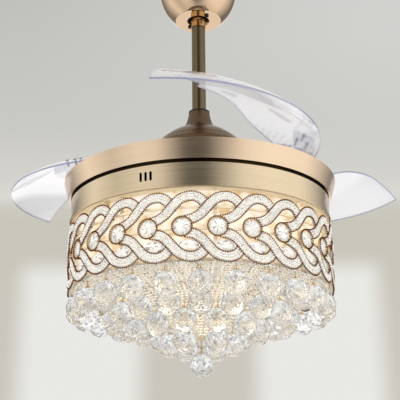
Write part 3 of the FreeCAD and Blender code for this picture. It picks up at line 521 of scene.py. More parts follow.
@dataclass(frozen=True)
class SoftWall(Finish):
    """Out-of-focus room wall with bright windows.

    Attributes:
        windows: Left, right, low and high edges of each window in metres, and its colour.
        soft: Width of the blurred edges in metres.
        foot: Height where the wall's stops begin.
        span: Height that they cover.
        across: From where to where the plain colour comes in to the right.
        up: From where to where it comes in upward.
    """

    windows: tuple[Window, ...] = ()
    soft: float = 0.12
    foot: float = -0.5
    span: float = 2.0
    across: Pair = (-0.8, 0.8)
    up: Pair = (0.3, 1.2)

    def surface(self, graph: NodeGraph) -> Socket:
        """Build the wall's shader.

        Args:
            graph: The material's node tree.

        Returns:
            The shader's output.
        """
        place = graph.add("ShaderNodeTexCoord").outputs["Object"]
        split = graph.add("ShaderNodeSeparateXYZ", Vector=place)
        x, z = split.outputs["X"], split.outputs["Z"]
        level = graph.math("DIVIDE", graph.math("SUBTRACT", z, self.foot), self.span, clamp=True)
        tone = graph.ramp(level, WALL_STOPS)
        aside = graph.add("ShaderNodeMapRange", Value=x, From_Min=self.across[0], From_Max=self.across[1])
        above = graph.add("ShaderNodeMapRange", Value=z, From_Min=self.up[0], From_Max=self.up[1])
        share = graph.math("MULTIPLY", aside.outputs[0], above.outputs[0])
        tone = graph.mix_colour(share, tone, rgba(self.colour))
        for left, right, low, high, colour in self.windows:
            share = graph.math("MULTIPLY", self.between(graph, x, left, right),
                               self.between(graph, z, low, high))
            tone = graph.mix_colour(share, tone, rgba(colour))
        return graph.add("ShaderNodeEmission", Color=tone, Strength=1.0).outputs[0]

    def between(self, graph: NodeGraph, value: Socket, low: float, high: float) -> Socket:
        """Build a soft step that is 1 between two places.

        Args:
            graph: The material's node tree.
            value: The coordinate.
            low: Lower place.
            high: Upper place.

        Returns:
            The share, from 0 to 1.
        """
        rise = graph.add("ShaderNodeMapRange", Value=value, From_Min=low - self.soft,
                         From_Max=low + self.soft)
        fall = graph.add("ShaderNodeMapRange", Value=value, From_Min=high - self.soft,
                         From_Max=high + self.soft, To_Min=1.0, To_Max=0.0)
        for node in (rise, fall):
            node.interpolation_type = "SMOOTHSTEP"
        return graph.math("MULTIPLY", rise.outputs[0], fall.outputs[0])


WALL_STOPS: Stops = (
    (0.0, (0.60, 0.57, 0.51)), (0.22, (0.60, 0.57, 0.51)), (0.40, (0.585, 0.56, 0.49)),
    (0.435, (0.60, 0.58, 0.52)), (0.465, (0.70, 0.69, 0.65)), (0.50, (0.66, 0.65, 0.61)),
    (0.62, (0.59, 0.585, 0.555)), (1.0, (0.52, 0.52, 0.50)))
PANE: Colour = (0.81, 0.81, 0.78)
WINDOWS: tuple[Window, ...] = (
    (-0.755, -0.25, -1.0, 0.11, PANE), (0.23, 0.75, -1.0, 0.11, PANE))

# Share of a full turn and brightness of the bands that the metal mirrors.
SKY_BANDS: tuple[Pair, ...] = (
    (0.0, 1.15), (0.035, 1.1), (0.06, 0.30), (0.115, 0.30), (0.21, 1.15), (0.29, 0.78), (0.36, 1.05),
    (0.405, 1.0), (0.465, 0.14), (0.515, 0.12), (0.60, 1.1), (0.66, 1.25), (0.77, 1.2), (0.89, 0.24),
    (0.94, 0.28), (0.965, 1.1), (1.0, 1.15))
SKY_TINT: Colour = (1.0, 0.985, 0.95)
# Where the bands fade into the ceiling and the floor, and their colours.
SKY_ENDS: tuple[tuple[float, float, Colour], ...] = (
    (0.35, 0.95, (0.75, 0.74, 0.71)), (-0.6, -0.97, (0.80, 0.78, 0.74)))
SKY_PLAIN: Colour = (0.62, 0.61, 0.58)
# What shows through the crystals.
GLITTER_SCALE: float = 5.0
GLITTER: Stops = (
    (0.34, (0.16, 0.16, 0.17)), (0.40, (0.60, 0.61, 0.62)), (0.48, (0.98, 0.98, 0.98)),
    (0.58, (1.15, 1.16, 1.17)), (0.70, (1.15, 1.04, 0.80)))

# Painted reflection tones of the balls' facets, grey, white and amber, in place of what they would mirror.
BALL_PAINTED_REFLECTIONS: Stops = (
    (0.0, (0.46, 0.47, 0.49)), (0.11, (0.77, 0.78, 0.80)), (0.26, (0.99, 0.995, 1.0)),
    (0.91, (1.0, 0.95, 0.84)))
# Painted glint colours that the facets glow with, from faint to white and amber.
PAINTED_GLINTS: Stops = (
    (0.0, (0.12, 0.12, 0.12)), (0.40, (0.40, 0.40, 0.40)), (0.62, (0.75, 0.75, 0.74)), (0.80, WHITE),
    (0.93, (1.0, 0.82, 0.52)))
# Painted reflection tones of the brilliants, the ribbons' stones and the net's stones.
WHITE_PAINTED_REFLECTIONS: Stops = (
    (0.0, (0.42, 0.40, 0.37)), (0.09, (0.72, 0.70, 0.67)), (0.28, (0.93, 0.92, 0.90)),
    (0.50, (1.0, 1.0, 0.99)), (0.93, (1.0, 0.86, 0.62)))
WARM_PAINTED_REFLECTIONS: Stops = (
    (0.0, (0.36, 0.33, 0.29)), (0.08, (0.70, 0.66, 0.60)), (0.26, (0.92, 0.91, 0.88)),
    (0.55, (1.0, 0.99, 0.97)), (0.90, (0.96, 0.78, 0.50)))

ROSE_GOLD = Metal("rose_gold", (0.66, 0.48, 0.33), 0.10)
BRASS = Metal("brass", (0.66, 0.44, 0.22), 0.14)
ROD_GOLD = Metal("rod_gold", (0.15, 0.11, 0.065), 0.12, Grain.UPRIGHT, 0.05)
DARK_BRONZE = Metal("dark_bronze", (0.13, 0.085, 0.05), 0.27)
BELL_BRONZE = Metal("bell_bronze", (0.15, 0.084, 0.037), 0.30, Grain.ROUND, 0.06)
RING_GOLD = Metal("ring_gold", (0.80, 0.62, 0.45), 0.19, Grain.ROUND, 0.08)
BAND_GOLD = ShadedGrooveMetal("band_gold", (0.72, 0.59, 0.41), 0.19, Grain.ROUND, 0.10)
FRAME_GOLD = Metal("frame_gold", (0.86, 0.68, 0.42), 0.28)
# Painted light: the gold frame and the net's wires take a pale, non-metallic colour, so that when backlit
# they look as light as the lit shade behind instead of dark.
PAINTED_LIGHT_GOLD = Finish("pale_gold", (0.92, 0.80, 0.60), 0.35)
BEAD_BRONZE = Finish("bead_bronze", (0.150, 0.052, 0.008), 0.42, mirror=0.0)
STEEL = Metal("steel", (0.62, 0.62, 0.62), 0.30)
DARK_METAL = Metal("dark_metal", (0.30, 0.24, 0.18), 0.45)
COPPER = Metal("copper", (0.70, 0.32, 0.16), 0.35)
BLACK = Finish("black", (0.005, 0.005, 0.005), 0.6)
NYLON = Finish("nylon", (0.75, 0.72, 0.65), 0.5)
BOARD = Finish("board_white", (0.85, 0.85, 0.82), 0.5)
PAVE = Finish("pave_ground", (0.86, 0.82, 0.76), 0.45)
ACRYLIC = ClearSheet("acrylic", (0.97, 0.97, 0.99), 0.05)
ACRYLIC_HUB = ClearSheet("acrylic_hub", (0.96, 0.965, 0.975), 0.10, haze=0.10, edge_shade_share=0.06)
CRYSTAL = CutCrystal("crystal", (0.98, 0.985, 0.99), 0.0, 1.52, 0.88, BALL_PAINTED_REFLECTIONS, 0.07)
BRILLIANT = CutCrystal("brilliant", (0.97, 0.96, 0.95), 0.04, 1.55, 0.25, WHITE_PAINTED_REFLECTIONS, 0.12)
STONE = CutCrystal("stone", (0.98, 0.97, 0.95), 0.06, 1.6, 0.2, WHITE_PAINTED_REFLECTIONS, 0.17)
NET_STONE = CutCrystal("net_stone", (0.98, 0.97, 0.95), 0.04, 1.6, 0.2, WARM_PAINTED_REFLECTIONS, 0.17)
SHADE_LIGHT = LitOpal("shade_light", (0.88, 0.76, 0.58), 0.5, 0.66, 60.0, (0.62, 0.42, 0.20))
BACK_WALL = SoftWall("soft_wall", (0.64, 0.64, 0.62), 1.0, WINDOWS, 0.07, one_sided=True)
GROUND = Finish("floor", (0.80, 0.78, 0.74), 0.7, one_sided=True)
LAMP_LIGHT = LitOpal("lamp_light", (0.95, 0.92, 0.86), 0.5, 0.62, 20.0, (0.92, 0.82, 0.66))

CAD_FINISHES: dict[Finish, tuple[str, ...]] = {
    ROSE_GOLD: ("canopy",),
    BRASS: ("rod_collar", "set_screws"),
    ROD_GOLD: ("downrod",),
    DARK_BRONZE: ("neck_cover",),
    BELL_BRONZE: ("bell_cover",),
    RING_GOLD: ("top_ring",),
    BAND_GOLD: ("drum_housing",),
    PAINTED_LIGHT_GOLD: ("crystal_frame",),
    FRAME_GOLD: ("ball_hooks", "thumb_screws", "finial_eye"),
    BLACK: ("hanger_ball", "cover_ring", "receiver_box", "seat_liner", "canopy_screws"),
    STEEL: ("rod_pins", "cotter_clip", "coupling_yoke", "motor_shaft", "bearings", "hub_nut",
            "chassis_screws", "rotor_screws", "gear_circlip", "pivot_posts", "post_caps", "return_springs",
            "tray_pillars", "blade_screws_1", "blade_screws_2", "blade_screws_3"),
    DARK_METAL: ("hanger_bracket", "stator_core", "magnet_ring", "rotor_lower_shell", "rotor_upper_shell",
                 "blade_carrier", "chassis_plate", "light_tray", "light_driver"),
    COPPER: ("stator_coils",),
    NYLON: ("gear_ring",),
    BOARD: ("light_boards",),
    ACRYLIC: ("blade_1", "blade_2", "blade_3"),
    ACRYLIC_HUB: ("blade_hub_1", "blade_hub_2", "blade_hub_3"),
    SHADE_LIGHT: ("band_shade",),
    LAMP_LIGHT: ("light_diffuser",),
}


def clear_selection() -> None:
    """Leave edit mode and select nothing."""
    if bpy.context.object is not None and bpy.context.object.mode != "OBJECT":
        bpy.ops.object.mode_set(mode="OBJECT")
    bpy.ops.object.select_all(action="DESELECT")


def select_only(things: Sequence[Thing]) -> None:
    """Select some objects and make the first active.

    Args:
        things: The objects.
    """
    clear_selection()
    for thing in things:
        thing.select_set(True)
    bpy.context.view_layer.objects.active = things[0]


def settle(thing: Thing, name: str, finish: Finish) -> Thing:
    """Name an object, dress it, and move its place into its vertices.

    Args:
        thing: The object.
        name: Its new name.
        finish: Its finish.

    Returns:
        The same object.
    """
    select_only([thing])
    bpy.ops.object.transform_apply(location=True, rotation=True, scale=True)
    thing.name = name
    finish.dress(thing)
    return thing


def repeat_round(thing: Thing, count: int) -> None:
    """Repeat an object's mesh round the fan's axis.

    Args:
        thing: An object whose mesh is placed once, with its origin on the axis.
        count: How many copies in a full turn.
    """
    clear_selection()
    bpy.ops.object.empty_add(location=(0, 0, 0), rotation=(0, 0, math.tau / count))
    step = bpy.context.object
    select_only([thing])
    bpy.ops.object.modifier_add(type="ARRAY")
    array = thing.modifiers[-1]
    array.count = count
    array.use_relative_offset = False
    array.use_object_offset = True
    array.offset_object = step
    bpy.ops.object.modifier_apply(modifier=array.name)
    select_only([step])
    bpy.ops.object.delete()


def joined(things: Sequence[Thing]) -> Thing:
    """Join several mesh objects into one.

    Args:
        things: The objects.

    Returns:
        The joined object.
    """
    select_only(things)
    if len(things) > 1:
        bpy.ops.object.join()
    return bpy.context.view_layer.objects.active


def empty_mesh(name: str) -> Thing:
    """Start a new piece in edit mode with nothing in it.

    Args:
        name: The piece's name.

    Returns:
        The new object, in edit mode.
    """
    clear_selection()
    bpy.ops.mesh.primitive_plane_add(size=MM)
    thing = bpy.context.object
    thing.name = name
    bpy.ops.object.mode_set(mode="EDIT")
    bpy.ops.mesh.select_all(action="SELECT")
    bpy.ops.mesh.delete(type="VERT")
    return thing


def cut_ball(name: str, radius: float, centre: Vector, sides: int = 17, rows: int = 11) -> Thing:
    """Cut a glass ball with rows of kite-shaped facets.

    Args:
        name: The ball's name.
        radius: Distance of its corners from its centre.
        centre: Where its centre is.
        sides: Facets in a row.
        rows: Rows of corners from top to bottom.

    Returns:
        The ball.
    """
    ball = empty_mesh(name)
    for k in range(rows):
        slope = math.pi * (k + 0.5) / rows
        bpy.ops.mesh.primitive_circle_add(vertices=sides, radius=radius * math.sin(slope),
                                          location=centre + Vector((0, 0, radius * math.cos(slope))),
                                          rotation=(0, 0, math.pi / sides * (k % 2)))
    bpy.ops.mesh.select_all(action="SELECT")
    bpy.ops.mesh.convex_hull(join_triangles=False)
    bpy.ops.mesh.normals_make_consistent(inside=False)
    bpy.ops.object.mode_set(mode="OBJECT")
    return settle(ball, name, CRYSTAL)


@dataclass
class SubAssembly:
    """A group of pieces that ride on one body of the frame.

    Attributes:
        body: The body's name.
    """

    body: str = "hanging_frame"

    def keep(self, thing: Thing, slot: str, replaces: Sequence[str] = ()) -> None:
        """Tie a finished piece to its body and hide the nodes that it stands for.

        Args:
            thing: The piece.
            slot: The record's material slot. Not used.
            replaces: Nodes that it stands for.
        """
        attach(thing, self.body)
        if replaces:
            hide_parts(*replaces)
        LOG.info("%s: %d faces", thing.name, len(thing.data.polygons))

    def build(self) -> None:
        """Make the group's pieces."""
        raise NotImplementedError


@dataclass
class BandGroup(SubAssembly):
    """Pieces that are modelled once and repeated round the lit band.

    Attributes:
        count: Copies round the band.
        first: Turn of the first crystal from the front.
        back: Radius of the pieces' back faces.
        middle: Height of the band's middle line.
        bead: Radius of a bead.
    """

    count: int = 26
    first: float = math.radians(6.8)
    back: float = 219 * MM
    middle: float = -545.5 * MM
    bead: float = 1.55 * MM

    def keep_round(self, thing: Thing, finish: Finish, slot: str,
                   replaces: Sequence[str] = (), turn: float = 0.0) -> None:
        """Dress a piece, repeat it round the band and keep it.

        Args:
            thing: The piece.
            finish: Its finish.
            slot: The record's material slot.
            replaces: Nodes that it stands for.
            turn: Turn of the first copy from the front.
        """
        thing.rotation_euler.z = turn
        repeat_round(settle(thing, thing.name, finish), self.count)
        self.keep(thing, slot, replaces)

    def keep_beads(self, name: str, spots: Sequence[Triple | Vector], turn: float = 0.0) -> None:
        """Make beads at some spots, repeat them round the band and keep them.

        Args:
            name: Name of the piece.
            spots: Centres of the beads of one copy.
            turn: Turn of the first copy from the front.
        """
        beads = empty_mesh(name)
        for spot in spots:
            bpy.ops.mesh.primitive_ico_sphere_add(subdivisions=1, radius=self.bead, location=spot)
        self.keep_round(beads, BEAD_BRONZE, "gold_frame", turn=turn)


@dataclass
class ScrollRow(BandGroup):
    """One row of crook-shaped ribbons, set with small stones between beaded edges.

    Attributes:
        row: Upper or lower row.
        thick: Thickness of a ribbon.
        width: Width of a ribbon between its rows of beads.
        start: First point of the centre line, across and up from a crystal.
        heading: First direction of the centre line, in degrees.
        moves: Radius and turn of each arc, or length and zero for a straight.
        reach: How far across a ribbon goes.
        rise: How much further out its start stands, and how much further in its end.
        dip: How far its first stretch goes in under the crystal's rim.
        dip_share: Share of the reach over which it comes out from there.
        spread: Distance between two beads, beside their radius.
        stone: Radius of a small stone.
        lanes: Stones side by side.
        meet: Where the outer row of beads meets the crystal's rim.
        joins: Beads from there to the ribbon's corner.
        crown: Radius of a stone's top, beside its own radius.
        sink: Height of a stone's middle over the ribbon, beside its radius.
        twist: Turn of a lane's stones against the lane before it.
        lane_room: Share of a lane left free at the ribbon's edges.
        arc_step: Degrees of an arc to one face of the ribbon.
        weld: Distance within which corners become one.
    """

    row: Row = Row.UPPER
    thick: float = 4.5 * MM
    width: float = 13.4 * MM
    start: Pair = (11.0 * MM, 10.5 * MM)
    heading: float = 10.0
    moves: tuple[Pair, ...] = (
        (34 * MM, 40.0), (18.5 * MM, 0.0), (31 * MM, -50.0), (22.6 * MM, -90.0))
    reach: float = 78 * MM
    rise: float = 1.4 * MM
    dip: float = 3.2 * MM
    dip_share: float = 0.2
    spread: float = 2.25
    stone: float = 2.15 * MM
    lanes: int = 3
    meet: Pair = (2.5 * MM, 16.2 * MM)
    joins: int = 2
    crown: float = 0.45
    sink: float = 0.4
    twist: float = 0.4
    lane_room: float = 0.15
    arc_step: float = 7.0
    weld: float = 0.02 * MM

    def line(self, offset: float, pitch: float) -> Iterator[Vector]:
        """Walk along a line beside the ribbon's centre line at even steps.

        Args:
            offset: Distance to the left of the centre line.
            pitch: Distance between stops.

        Yields:
            Points, across and up from a crystal.
        """
        point, heading = Vector(self.start), math.radians(self.heading)
        carry = pitch / 2
        for size, turn in self.moves:
            swing = math.radians(turn)
            side = math.copysign(1.0, turn)
            left = Vector((-math.sin(heading), math.cos(heading)))
            hub = point + left * side * size
            reach = abs(swing) * (size - side * offset) if turn else size
            while carry < reach:
                share = carry / reach
                if turn:
                    angle = heading + swing * share
                    yield hub - Vector((-math.sin(angle), math.cos(angle))) * (side * size - offset)
                else:
                    ahead = Vector((math.cos(heading), math.sin(heading)))
                    yield point + ahead * size * share + left * offset
                carry += pitch
            carry -= reach
            if turn:
                heading += swing
                point = hub - Vector((-math.sin(heading), math.cos(heading))) * side * size
            else:
                point = point + Vector((math.cos(heading), math.sin(heading))) * size

    def place(self, across: float, up: float, depth: float) -> Vector:
        """Wrap a point of the flat ribbon round the band.

        Args:
            across: Distance to the right of a crystal.
            up: Distance above the middle line, in the upper row.
            depth: Distance in front of the ribbon's back face.

        Returns:
            The point on the fan.
        """
        share = (across - self.start[0]) / self.reach
        out = self.back + depth
        if depth > 0:
            out += self.rise * (1 - 2 * share) - self.dip * min(max(1 - share / self.dip_share, 0), 1)
        turn = self.first + across / self.back
        return Vector((out * math.sin(turn), -out * math.cos(turn), self.middle + self.row.value * up))

    def ribbon(self) -> Thing:
        """Sweep one ribbon flat, then wrap it round the band.

        Returns:
            The ribbon.
        """
        heading = math.radians(self.heading)
        ribbon = empty_mesh(f"{self.row.name.lower()}_scroll_ribbons")
        spot = Vector((self.start[0], -self.thick / 2, self.start[1]))
        bpy.ops.mesh.primitive_plane_add(size=1.0, location=spot, rotation=(0, math.pi / 2 - heading, 0))
        bpy.ops.mesh.select_all(action="SELECT")
        bpy.ops.transform.resize(value=(self.width, self.width, self.width), center_override=spot)
        bpy.ops.transform.resize(value=(1, self.thick / self.width, 1), center_override=spot)
        for size, turn in self.moves:
            ahead = Vector((math.cos(heading), 0, math.sin(heading)))
            if turn:
                side = math.copysign(1.0, turn)
                hub = spot + Vector((-ahead.z, 0, ahead.x)) * side * size
                swing = math.radians(turn)
                bpy.ops.mesh.spin(steps=max(int(abs(turn) / self.arc_step), 3), angle=abs(swing), center=hub,
                                  axis=(0, side, 0))
                heading += swing
                ahead = Vector((math.cos(heading), 0, math.sin(heading)))
                spot = hub - Vector((-ahead.z, 0, ahead.x)) * side * size
            else:
                bpy.ops.mesh.extrude_region_move(TRANSFORM_OT_translate={"value": ahead * size})
                spot = spot + ahead * size
        bpy.ops.object.mode_set(mode="OBJECT")
        for corner in ribbon.data.vertices:
            corner.co = self.place(corner.co.x, corner.co.z, -corner.co.y)
        bpy.ops.object.mode_set(mode="EDIT")
        bpy.ops.mesh.select_all(action="SELECT")
        bpy.ops.mesh.remove_doubles(threshold=self.weld)
        bpy.ops.mesh.normals_make_consistent(inside=False)
        return ribbon

    def build(self) -> None:
        """Make the row's ribbons, beads and stones."""
        name = self.row.name.lower()
        self.keep_round(self.ribbon(), PAVE, "crystal", [f"{name}_scrolls"])

        edge = self.width / 2 + self.bead / 2
        pitch = self.bead * self.spread
        spots = [*self.line(-edge, pitch), *self.line(edge, pitch)]
        heading = math.radians(self.heading)
        corner = Vector(self.start) + Vector((-math.sin(heading), math.cos(heading))) * edge
        spots += [corner.lerp(Vector(self.meet), (k + 0.5) / self.joins) for k in range(self.joins)]
        self.keep_beads(f"{name}_scroll_beads", [self.place(spot.x, spot.y, self.thick) for spot in spots])

        stones = empty_mesh(f"{name}_scroll_stones")
        pitch = self.width / (self.lanes + self.lane_room)
        depth = self.thick + self.stone * self.sink
        for lane in range(self.lanes):
            for spot in self.line((lane - (self.lanes - 1) / 2) * pitch, pitch):
                face = (math.pi / 2, self.twist * lane, self.first + spot.x / self.back)
                bpy.ops.mesh.primitive_cone_add(vertices=6, radius1=self.stone,
                                                radius2=self.stone * self.crown, depth=self.stone,
                                                rotation=face, location=self.place(spot.x, spot.y, depth))
        self.keep_round(stones, STONE, "crystal")


@dataclass
class CrystalBand(BandGroup):
    """Round brilliants in beaded bezels, and pear stones in the lower loops.

    Attributes:
        radius: Radius of a brilliant.
        facets: Facets round a brilliant.
        profile: Share of that radius and height over the back face at each edge of a brilliant.
        weld: Distance within which corners become one.
        bezel: Radius of the ring of beads.
        beads: Beads in one ring.
        bead_depth: Height of the beads over the back face.
        rim: Radius of the bezel's round rim.
        pear: Across and up from a brilliant to a pear stone, its half length and half height.
        swell: How far a pear stone stands out, beside its half height.
    """

    radius: float = 14.2 * MM
    facets: int = 26
    profile: tuple[Pair, ...] = (
        (1.0, 0.0), (1.0, 1.4 * MM), (0.62, 4.1 * MM), (0.10, 5.0 * MM))
    weld: float = 0.05 * MM
    bezel: float = 15.4 * MM
    beads: int = 28
    bead_depth: float = 4.6 * MM
    rim: float = 1.5 * MM
    pear: tuple[float, float, float, float] = (9.6 * MM, -29.5 * MM, 16 * MM, 10 * MM)
    swell: float = 0.34

    def build(self) -> None:
        """Make the brilliants, their bezels and the pear stones."""
        self.brilliants()
        self.bezels()
        self.pears()

    def brilliants(self) -> None:
        """Make the brilliants from rings of facets."""
        gem = empty_mesh("band_brilliants")
        for (low, near), (high, far) in zip(self.profile, self.profile[1:]):
            bpy.ops.mesh.primitive_cone_add(vertices=self.facets, radius1=self.radius * low,
                                            radius2=self.radius * high, depth=far - near,
                                            end_fill_type="NOTHING", rotation=FORWARD,
                                            location=(0, -self.back - (near + far) / 2, self.middle))
        for share, height in (self.profile[0], self.profile[-1]):
            bpy.ops.mesh.primitive_circle_add(vertices=self.facets, radius=self.radius * share,
                                              fill_type="NGON", rotation=FORWARD,
                                              location=(0, -self.back - height, self.middle))
        bpy.ops.mesh.select_all(action="SELECT")
        bpy.ops.mesh.remove_doubles(threshold=self.weld)
        bpy.ops.mesh.normals_make_consistent(inside=False)
        self.keep_round(gem, BRILLIANT, "crystal", ["band_crystals"], self.first)

    def bezels(self) -> None:
        """Make the rings of beads and the rims behind them."""
        angles = [math.tau * k / self.beads for k in range(self.beads)]
        spots = [(self.bezel * math.cos(angle), -self.back - self.bead_depth,
                  self.middle + self.bezel * math.sin(angle)) for angle in angles]
        self.keep_beads("bezel_beads", spots, self.first)

        clear_selection()
        bpy.ops.mesh.primitive_torus_add(major_radius=self.bezel - self.rim / 2, minor_radius=self.rim,
                                         major_segments=32, minor_segments=8, rotation=FORWARD,
                                         location=(0, -self.back - self.rim, self.middle))
        rim = settle(bpy.context.object, "bezel_rims", FRAME_GOLD)
        bpy.ops.object.shade_smooth()
        self.keep_round(rim, FRAME_GOLD, "gold_frame", ["crystal_bezels"], self.first)

    def pears(self) -> None:
        """Make the pear stones."""
        across, up, half_length, half_height = self.pear
        spot = (0, -self.back, self.middle + up)
        pear = empty_mesh("loop_pears")
        bpy.ops.mesh.primitive_uv_sphere_add(segments=14, ring_count=7, radius=half_height, location=spot,
                                             rotation=FORWARD)
        bpy.ops.mesh.select_all(action="SELECT")
        bpy.ops.transform.resize(value=(half_length / half_height, self.swell, 1.0), center_override=spot)
        self.keep_round(pear, BRILLIANT, "crystal", turn=self.first + across / self.back)


@dataclass
class BallTiers(SubAssembly):
    """Faceted balls that hang in four tiers.

    Attributes:
        radius: Radius of a ball.
        tiers: Count, distance from the axis, height, and turn as a share of the pitch, of each tier.
    """

    radius: float = 19.75 * MM
    tiers: tuple[tuple[int, float, float, float], ...] = (
        (24, 207 * MM, -628 * MM, 0.0), (18, 146 * MM, -644 * MM, 0.0),
        (12, 99 * MM, -661 * MM, 0.5), (6, 52 * MM, -683 * MM, 0.5))

    def tier(self, number: int) -> Thing:
        """Make one tier.

        Args:
            number: Which tier, from the outside.

        Returns:
            The tier's balls as one object.
        """
        count, distance, height, share = self.tiers[number]
        ball = cut_ball(f"ball_tier_{number + 1}", self.radius, Vector((0, -distance, height)))
        ball.rotation_euler.z = math.tau / count * share
        repeat_round(settle(ball, ball.name, CRYSTAL), count)
        return ball

    def build(self) -> None:
        """Make the outer tier, and the inner tiers as one piece."""
        outer = settle(self.tier(0), "faceted_balls_outer", CRYSTAL)
        self.keep(outer, "crystal", ["outer_crystal_balls"])
        inner = joined([self.tier(k) for k in range(1, len(self.tiers))])
        self.keep(settle(inner, "faceted_balls_inner", CRYSTAL), "crystal", ["inner_crystal_balls"])


@dataclass
class Finial(SubAssembly):
    """The faceted ball that swings at the bottom.

    Attributes:
        radius: Radius of the ball.
        height: Height of its centre.
    """

    radius: float = 19.75 * MM
    height: float = -716 * MM

    def build(self) -> None:
        """Make the ball."""
        ball = cut_ball("faceted_finial", self.radius, Vector((0, 0, self.height)))
        self.keep(ball, "crystal", ["finial_ball"])


@dataclass
class CrystalNet(SubAssembly):
    """Rings of small cut stones on wires across the spokes under the drum.

    Attributes:
        profile: Distance from the axis and height along a spoke's lower edge.
        first: Distance of the outer ring of stones.
        last: Distance of the inner ring of stones.
        pitch: Distance between rings, and between stones in a ring.
        stone: Radius of a stone.
        crown: Radius of its flats, beside its own radius.
        depth: Height of each half of it, beside its radius.
        twist: Turn of a ring's stones against the ring before it.
        fewest: Stones in the smallest rings.
        wire: Radius of a wire.
    """

    profile: tuple[Pair, ...] = (
        (216 * MM, -596 * MM), (204 * MM, -596 * MM), (146 * MM, -610.5 * MM), (99 * MM, -627.5 * MM),
        (52 * MM, -649.5 * MM), (4 * MM, -672 * MM))
    first: float = 212 * MM
    last: float = 13 * MM
    pitch: float = 6.8 * MM
    stone: float = 3.8 * MM
    crown: float = 0.4
    depth: float = 0.55
    twist: float = 0.37
    fewest: int = 6
    wire: float = 0.5 * MM

    def height(self, distance: float) -> float:
        """Find the height of the spokes' lower edge.

        Args:
            distance: Distance from the axis.

        Returns:
            The height.
        """
        for (far, high), (near, low) in zip(self.profile, self.profile[1:]):
            if near <= distance <= far:
                return high + (low - high) * (far - distance) / (far - near)
        return self.profile[-1][1]

    def build(self) -> None:
        """Make the rings of stones and their wires."""
        stones: list[Thing] = []
        wires: list[Thing] = []
        rings = int((self.first - self.last) / self.pitch) + 1
        for k in range(rings):
            distance = self.first - k * self.pitch
            height = self.height(distance)
            stone = empty_mesh("net_stone")
            for side in (-1, 1):
                middle = height + (side / 2 - 1) * self.depth * self.stone
                bpy.ops.mesh.primitive_cone_add(vertices=6, radius1=self.stone,
                                                radius2=self.stone * self.crown,
                                                depth=self.stone * self.depth,
                                                location=(0, -distance, middle),
                                                rotation=(math.pi if side < 0 else 0, 0, 0))
            stone.rotation_euler.z = self.twist * k
            count = max(int(math.tau * distance / self.pitch), self.fewest)
            repeat_round(settle(stone, stone.name, NET_STONE), count)
            stones.append(stone)
            clear_selection()
            bpy.ops.mesh.primitive_torus_add(major_radius=distance, minor_radius=self.wire,
                                             major_segments=72, minor_segments=6,
                                             location=(0, 0, height + self.wire))
            wires.append(settle(bpy.context.object, "net_wire", PAINTED_LIGHT_GOLD))
        self.keep(settle(joined(stones), "net_stones", NET_STONE), "crystal")
        self.keep(settle(joined(wires), "net_wires", PAINTED_LIGHT_GOLD), "gold_frame")


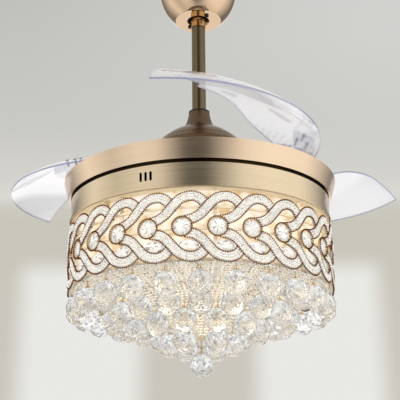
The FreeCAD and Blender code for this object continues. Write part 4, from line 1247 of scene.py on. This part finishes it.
@dataclass
class Room:
    """Backdrop, floor, lamps, sky and camera.

    Attributes:
        eye: The camera's place.
        pitch: How far the camera looks up, in degrees.
        roll: How far it leans, in degrees.
        lens: Focal length in millimetres.
        sensor: Width of the sensor in millimetres.
        wall: Distance of the backdrop behind the fan.
        floor: Height of the floor.
        span: Size of both.
        soft_lamps: Place, size and power of each soft lamp.
        aim: Where they point.
        drum_lamp: Place of the lamp inside the drum.
        drum_power: Its power.
        drum_colour: Its colour.
        drum_size: Its radius.
    """

    eye: Triple = (0.0, -1.606, -0.987)
    pitch: float = 19.2
    roll: float = -0.55
    lens: float = 87.74
    sensor: float = 36.0
    wall: float = 2.4
    floor: float = -2.5
    span: float = 40.0
    soft_lamps: tuple[tuple[Triple, float, float], ...] = (
        ((-1.6, -1.9, 0.6), 1.2, 34.0), ((1.8, -1.5, 0.3), 1.0, 22.0), ((0.7, 2.0, 1.0), 1.2, 22.0))
    aim: Triple = (0.0, 0.0, -0.5)
    drum_lamp: Triple = (0.0, 0.0, -0.56)
    drum_power: float = 0.4
    drum_colour: Colour = (1.0, 0.92, 0.78)
    drum_size: float = 0.06

    def build(self) -> None:
        """Set the stage."""
        self.backdrop()
        self.lamps()
        self.sky()
        self.camera()

    def backdrop(self) -> None:
        """Make the wall behind the fan and the floor far below."""
        clear_selection()
        bpy.ops.mesh.primitive_plane_add(size=self.span, location=(0, self.wall, 0), rotation=FORWARD)
        wall = settle(bpy.context.object, "backdrop", BACK_WALL)
        clear_selection()
        bpy.ops.mesh.primitive_plane_add(size=self.span, location=(0, 0, self.floor))
        ground = settle(bpy.context.object, "floor", GROUND)
        for thing in (wall, ground):
            thing.visible_transmission = False
            thing.visible_glossy = False

    def lamps(self) -> None:
        """Hang two soft lamps in front of the fan, one behind it and a small warm one inside the drum."""
        for place, size, power in self.soft_lamps:
            clear_selection()
            aim = (Vector(self.aim) - Vector(place)).to_track_quat("-Z", "Y").to_euler()
            bpy.ops.object.light_add(type="AREA", location=place, rotation=aim)
            lamp = bpy.context.object
            lamp.data.size = size
            lamp.data.energy = power
            lamp.visible_glossy = False
            lamp.visible_transmission = False
        clear_selection()
        bpy.ops.object.light_add(type="POINT", location=self.drum_lamp)
        lamp = bpy.context.object
        lamp.data.energy = self.drum_power
        lamp.data.color = self.drum_colour
        lamp.data.shadow_soft_size = self.drum_size

    def sky(self) -> None:
        """Surround the fan with bright and dark upright bands, as the room's windows and walls give."""
        world = bpy.data.worlds.new("room")
        bpy.context.scene.world = world
        world.use_nodes = True
        world.node_tree.nodes.clear()
        graph = NodeGraph(world.node_tree)
        way = graph.add("ShaderNodeTexCoord").outputs["Generated"]
        split = graph.add("ShaderNodeSeparateXYZ", Vector=way)
        turn = graph.math("ARCTAN2", split.outputs["X"], graph.math("MULTIPLY", split.outputs["Y"], -1.0))
        share = graph.math("ADD", graph.math("DIVIDE", turn, math.tau), 0.5)
        tone = graph.ramp(share, [(p, tuple(v * c for c in SKY_TINT)) for p, v in SKY_BANDS])
        for near, far, colour in SKY_ENDS:
            end = graph.add("ShaderNodeMapRange", Value=split.outputs["Z"], From_Min=near, From_Max=far)
            tone = graph.mix_colour(end.outputs[0], tone, rgba(colour))
        spots = graph.add("ShaderNodeTexNoise", Vector=way, Scale=GLITTER_SCALE, Detail=2.0).outputs["Fac"]
        path = graph.add("ShaderNodeLightPath")
        tone = graph.mix_colour(path.outputs["Is Transmission Ray"], tone, graph.ramp(spots, GLITTER))
        tone = graph.mix_colour(path.outputs["Is Camera Ray"], tone, rgba(SKY_PLAIN))
        light = graph.add("ShaderNodeBackground", Color=tone, Strength=1.0).outputs[0]
        graph.add("ShaderNodeOutputWorld", Surface=light)

    def camera(self) -> None:
        """Set the camera where the photograph was taken from."""
        clear_selection()
        tilt = Matrix.Rotation(math.radians(90 + self.pitch), 4, "X")
        lean = Matrix.Rotation(math.radians(self.roll), 4, "Z")
        bpy.ops.object.camera_add(location=self.eye, rotation=(tilt @ lean).to_euler())
        eye = bpy.context.object
        eye.data.sensor_width = self.sensor
        eye.data.lens = self.lens
        bpy.context.scene.camera = eye


def dress_frame(nodes: dict[str, Thing]) -> None:
    """Give the frame's nodes their finishes.

    Args:
        nodes: The frame's node objects by name.
    """
    for finish, names in CAD_FINISHES.items():
        for name in names:
            finish.dress(nodes[name])


def main() -> None:
    """Dress the frame, add the fine pieces and set the stage."""
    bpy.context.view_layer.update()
    dress_frame(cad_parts)
    groups: list[SubAssembly] = [
        ScrollRow(row=Row.UPPER), ScrollRow(row=Row.LOWER), CrystalBand(), BallTiers(), Finial(body="finial"),
        CrystalNet()]
    for group in groups:
        group.build()
    Room().build()
    bpy.context.scene.view_settings.view_transform = "Standard"


if __name__ == "__main__":
    main()
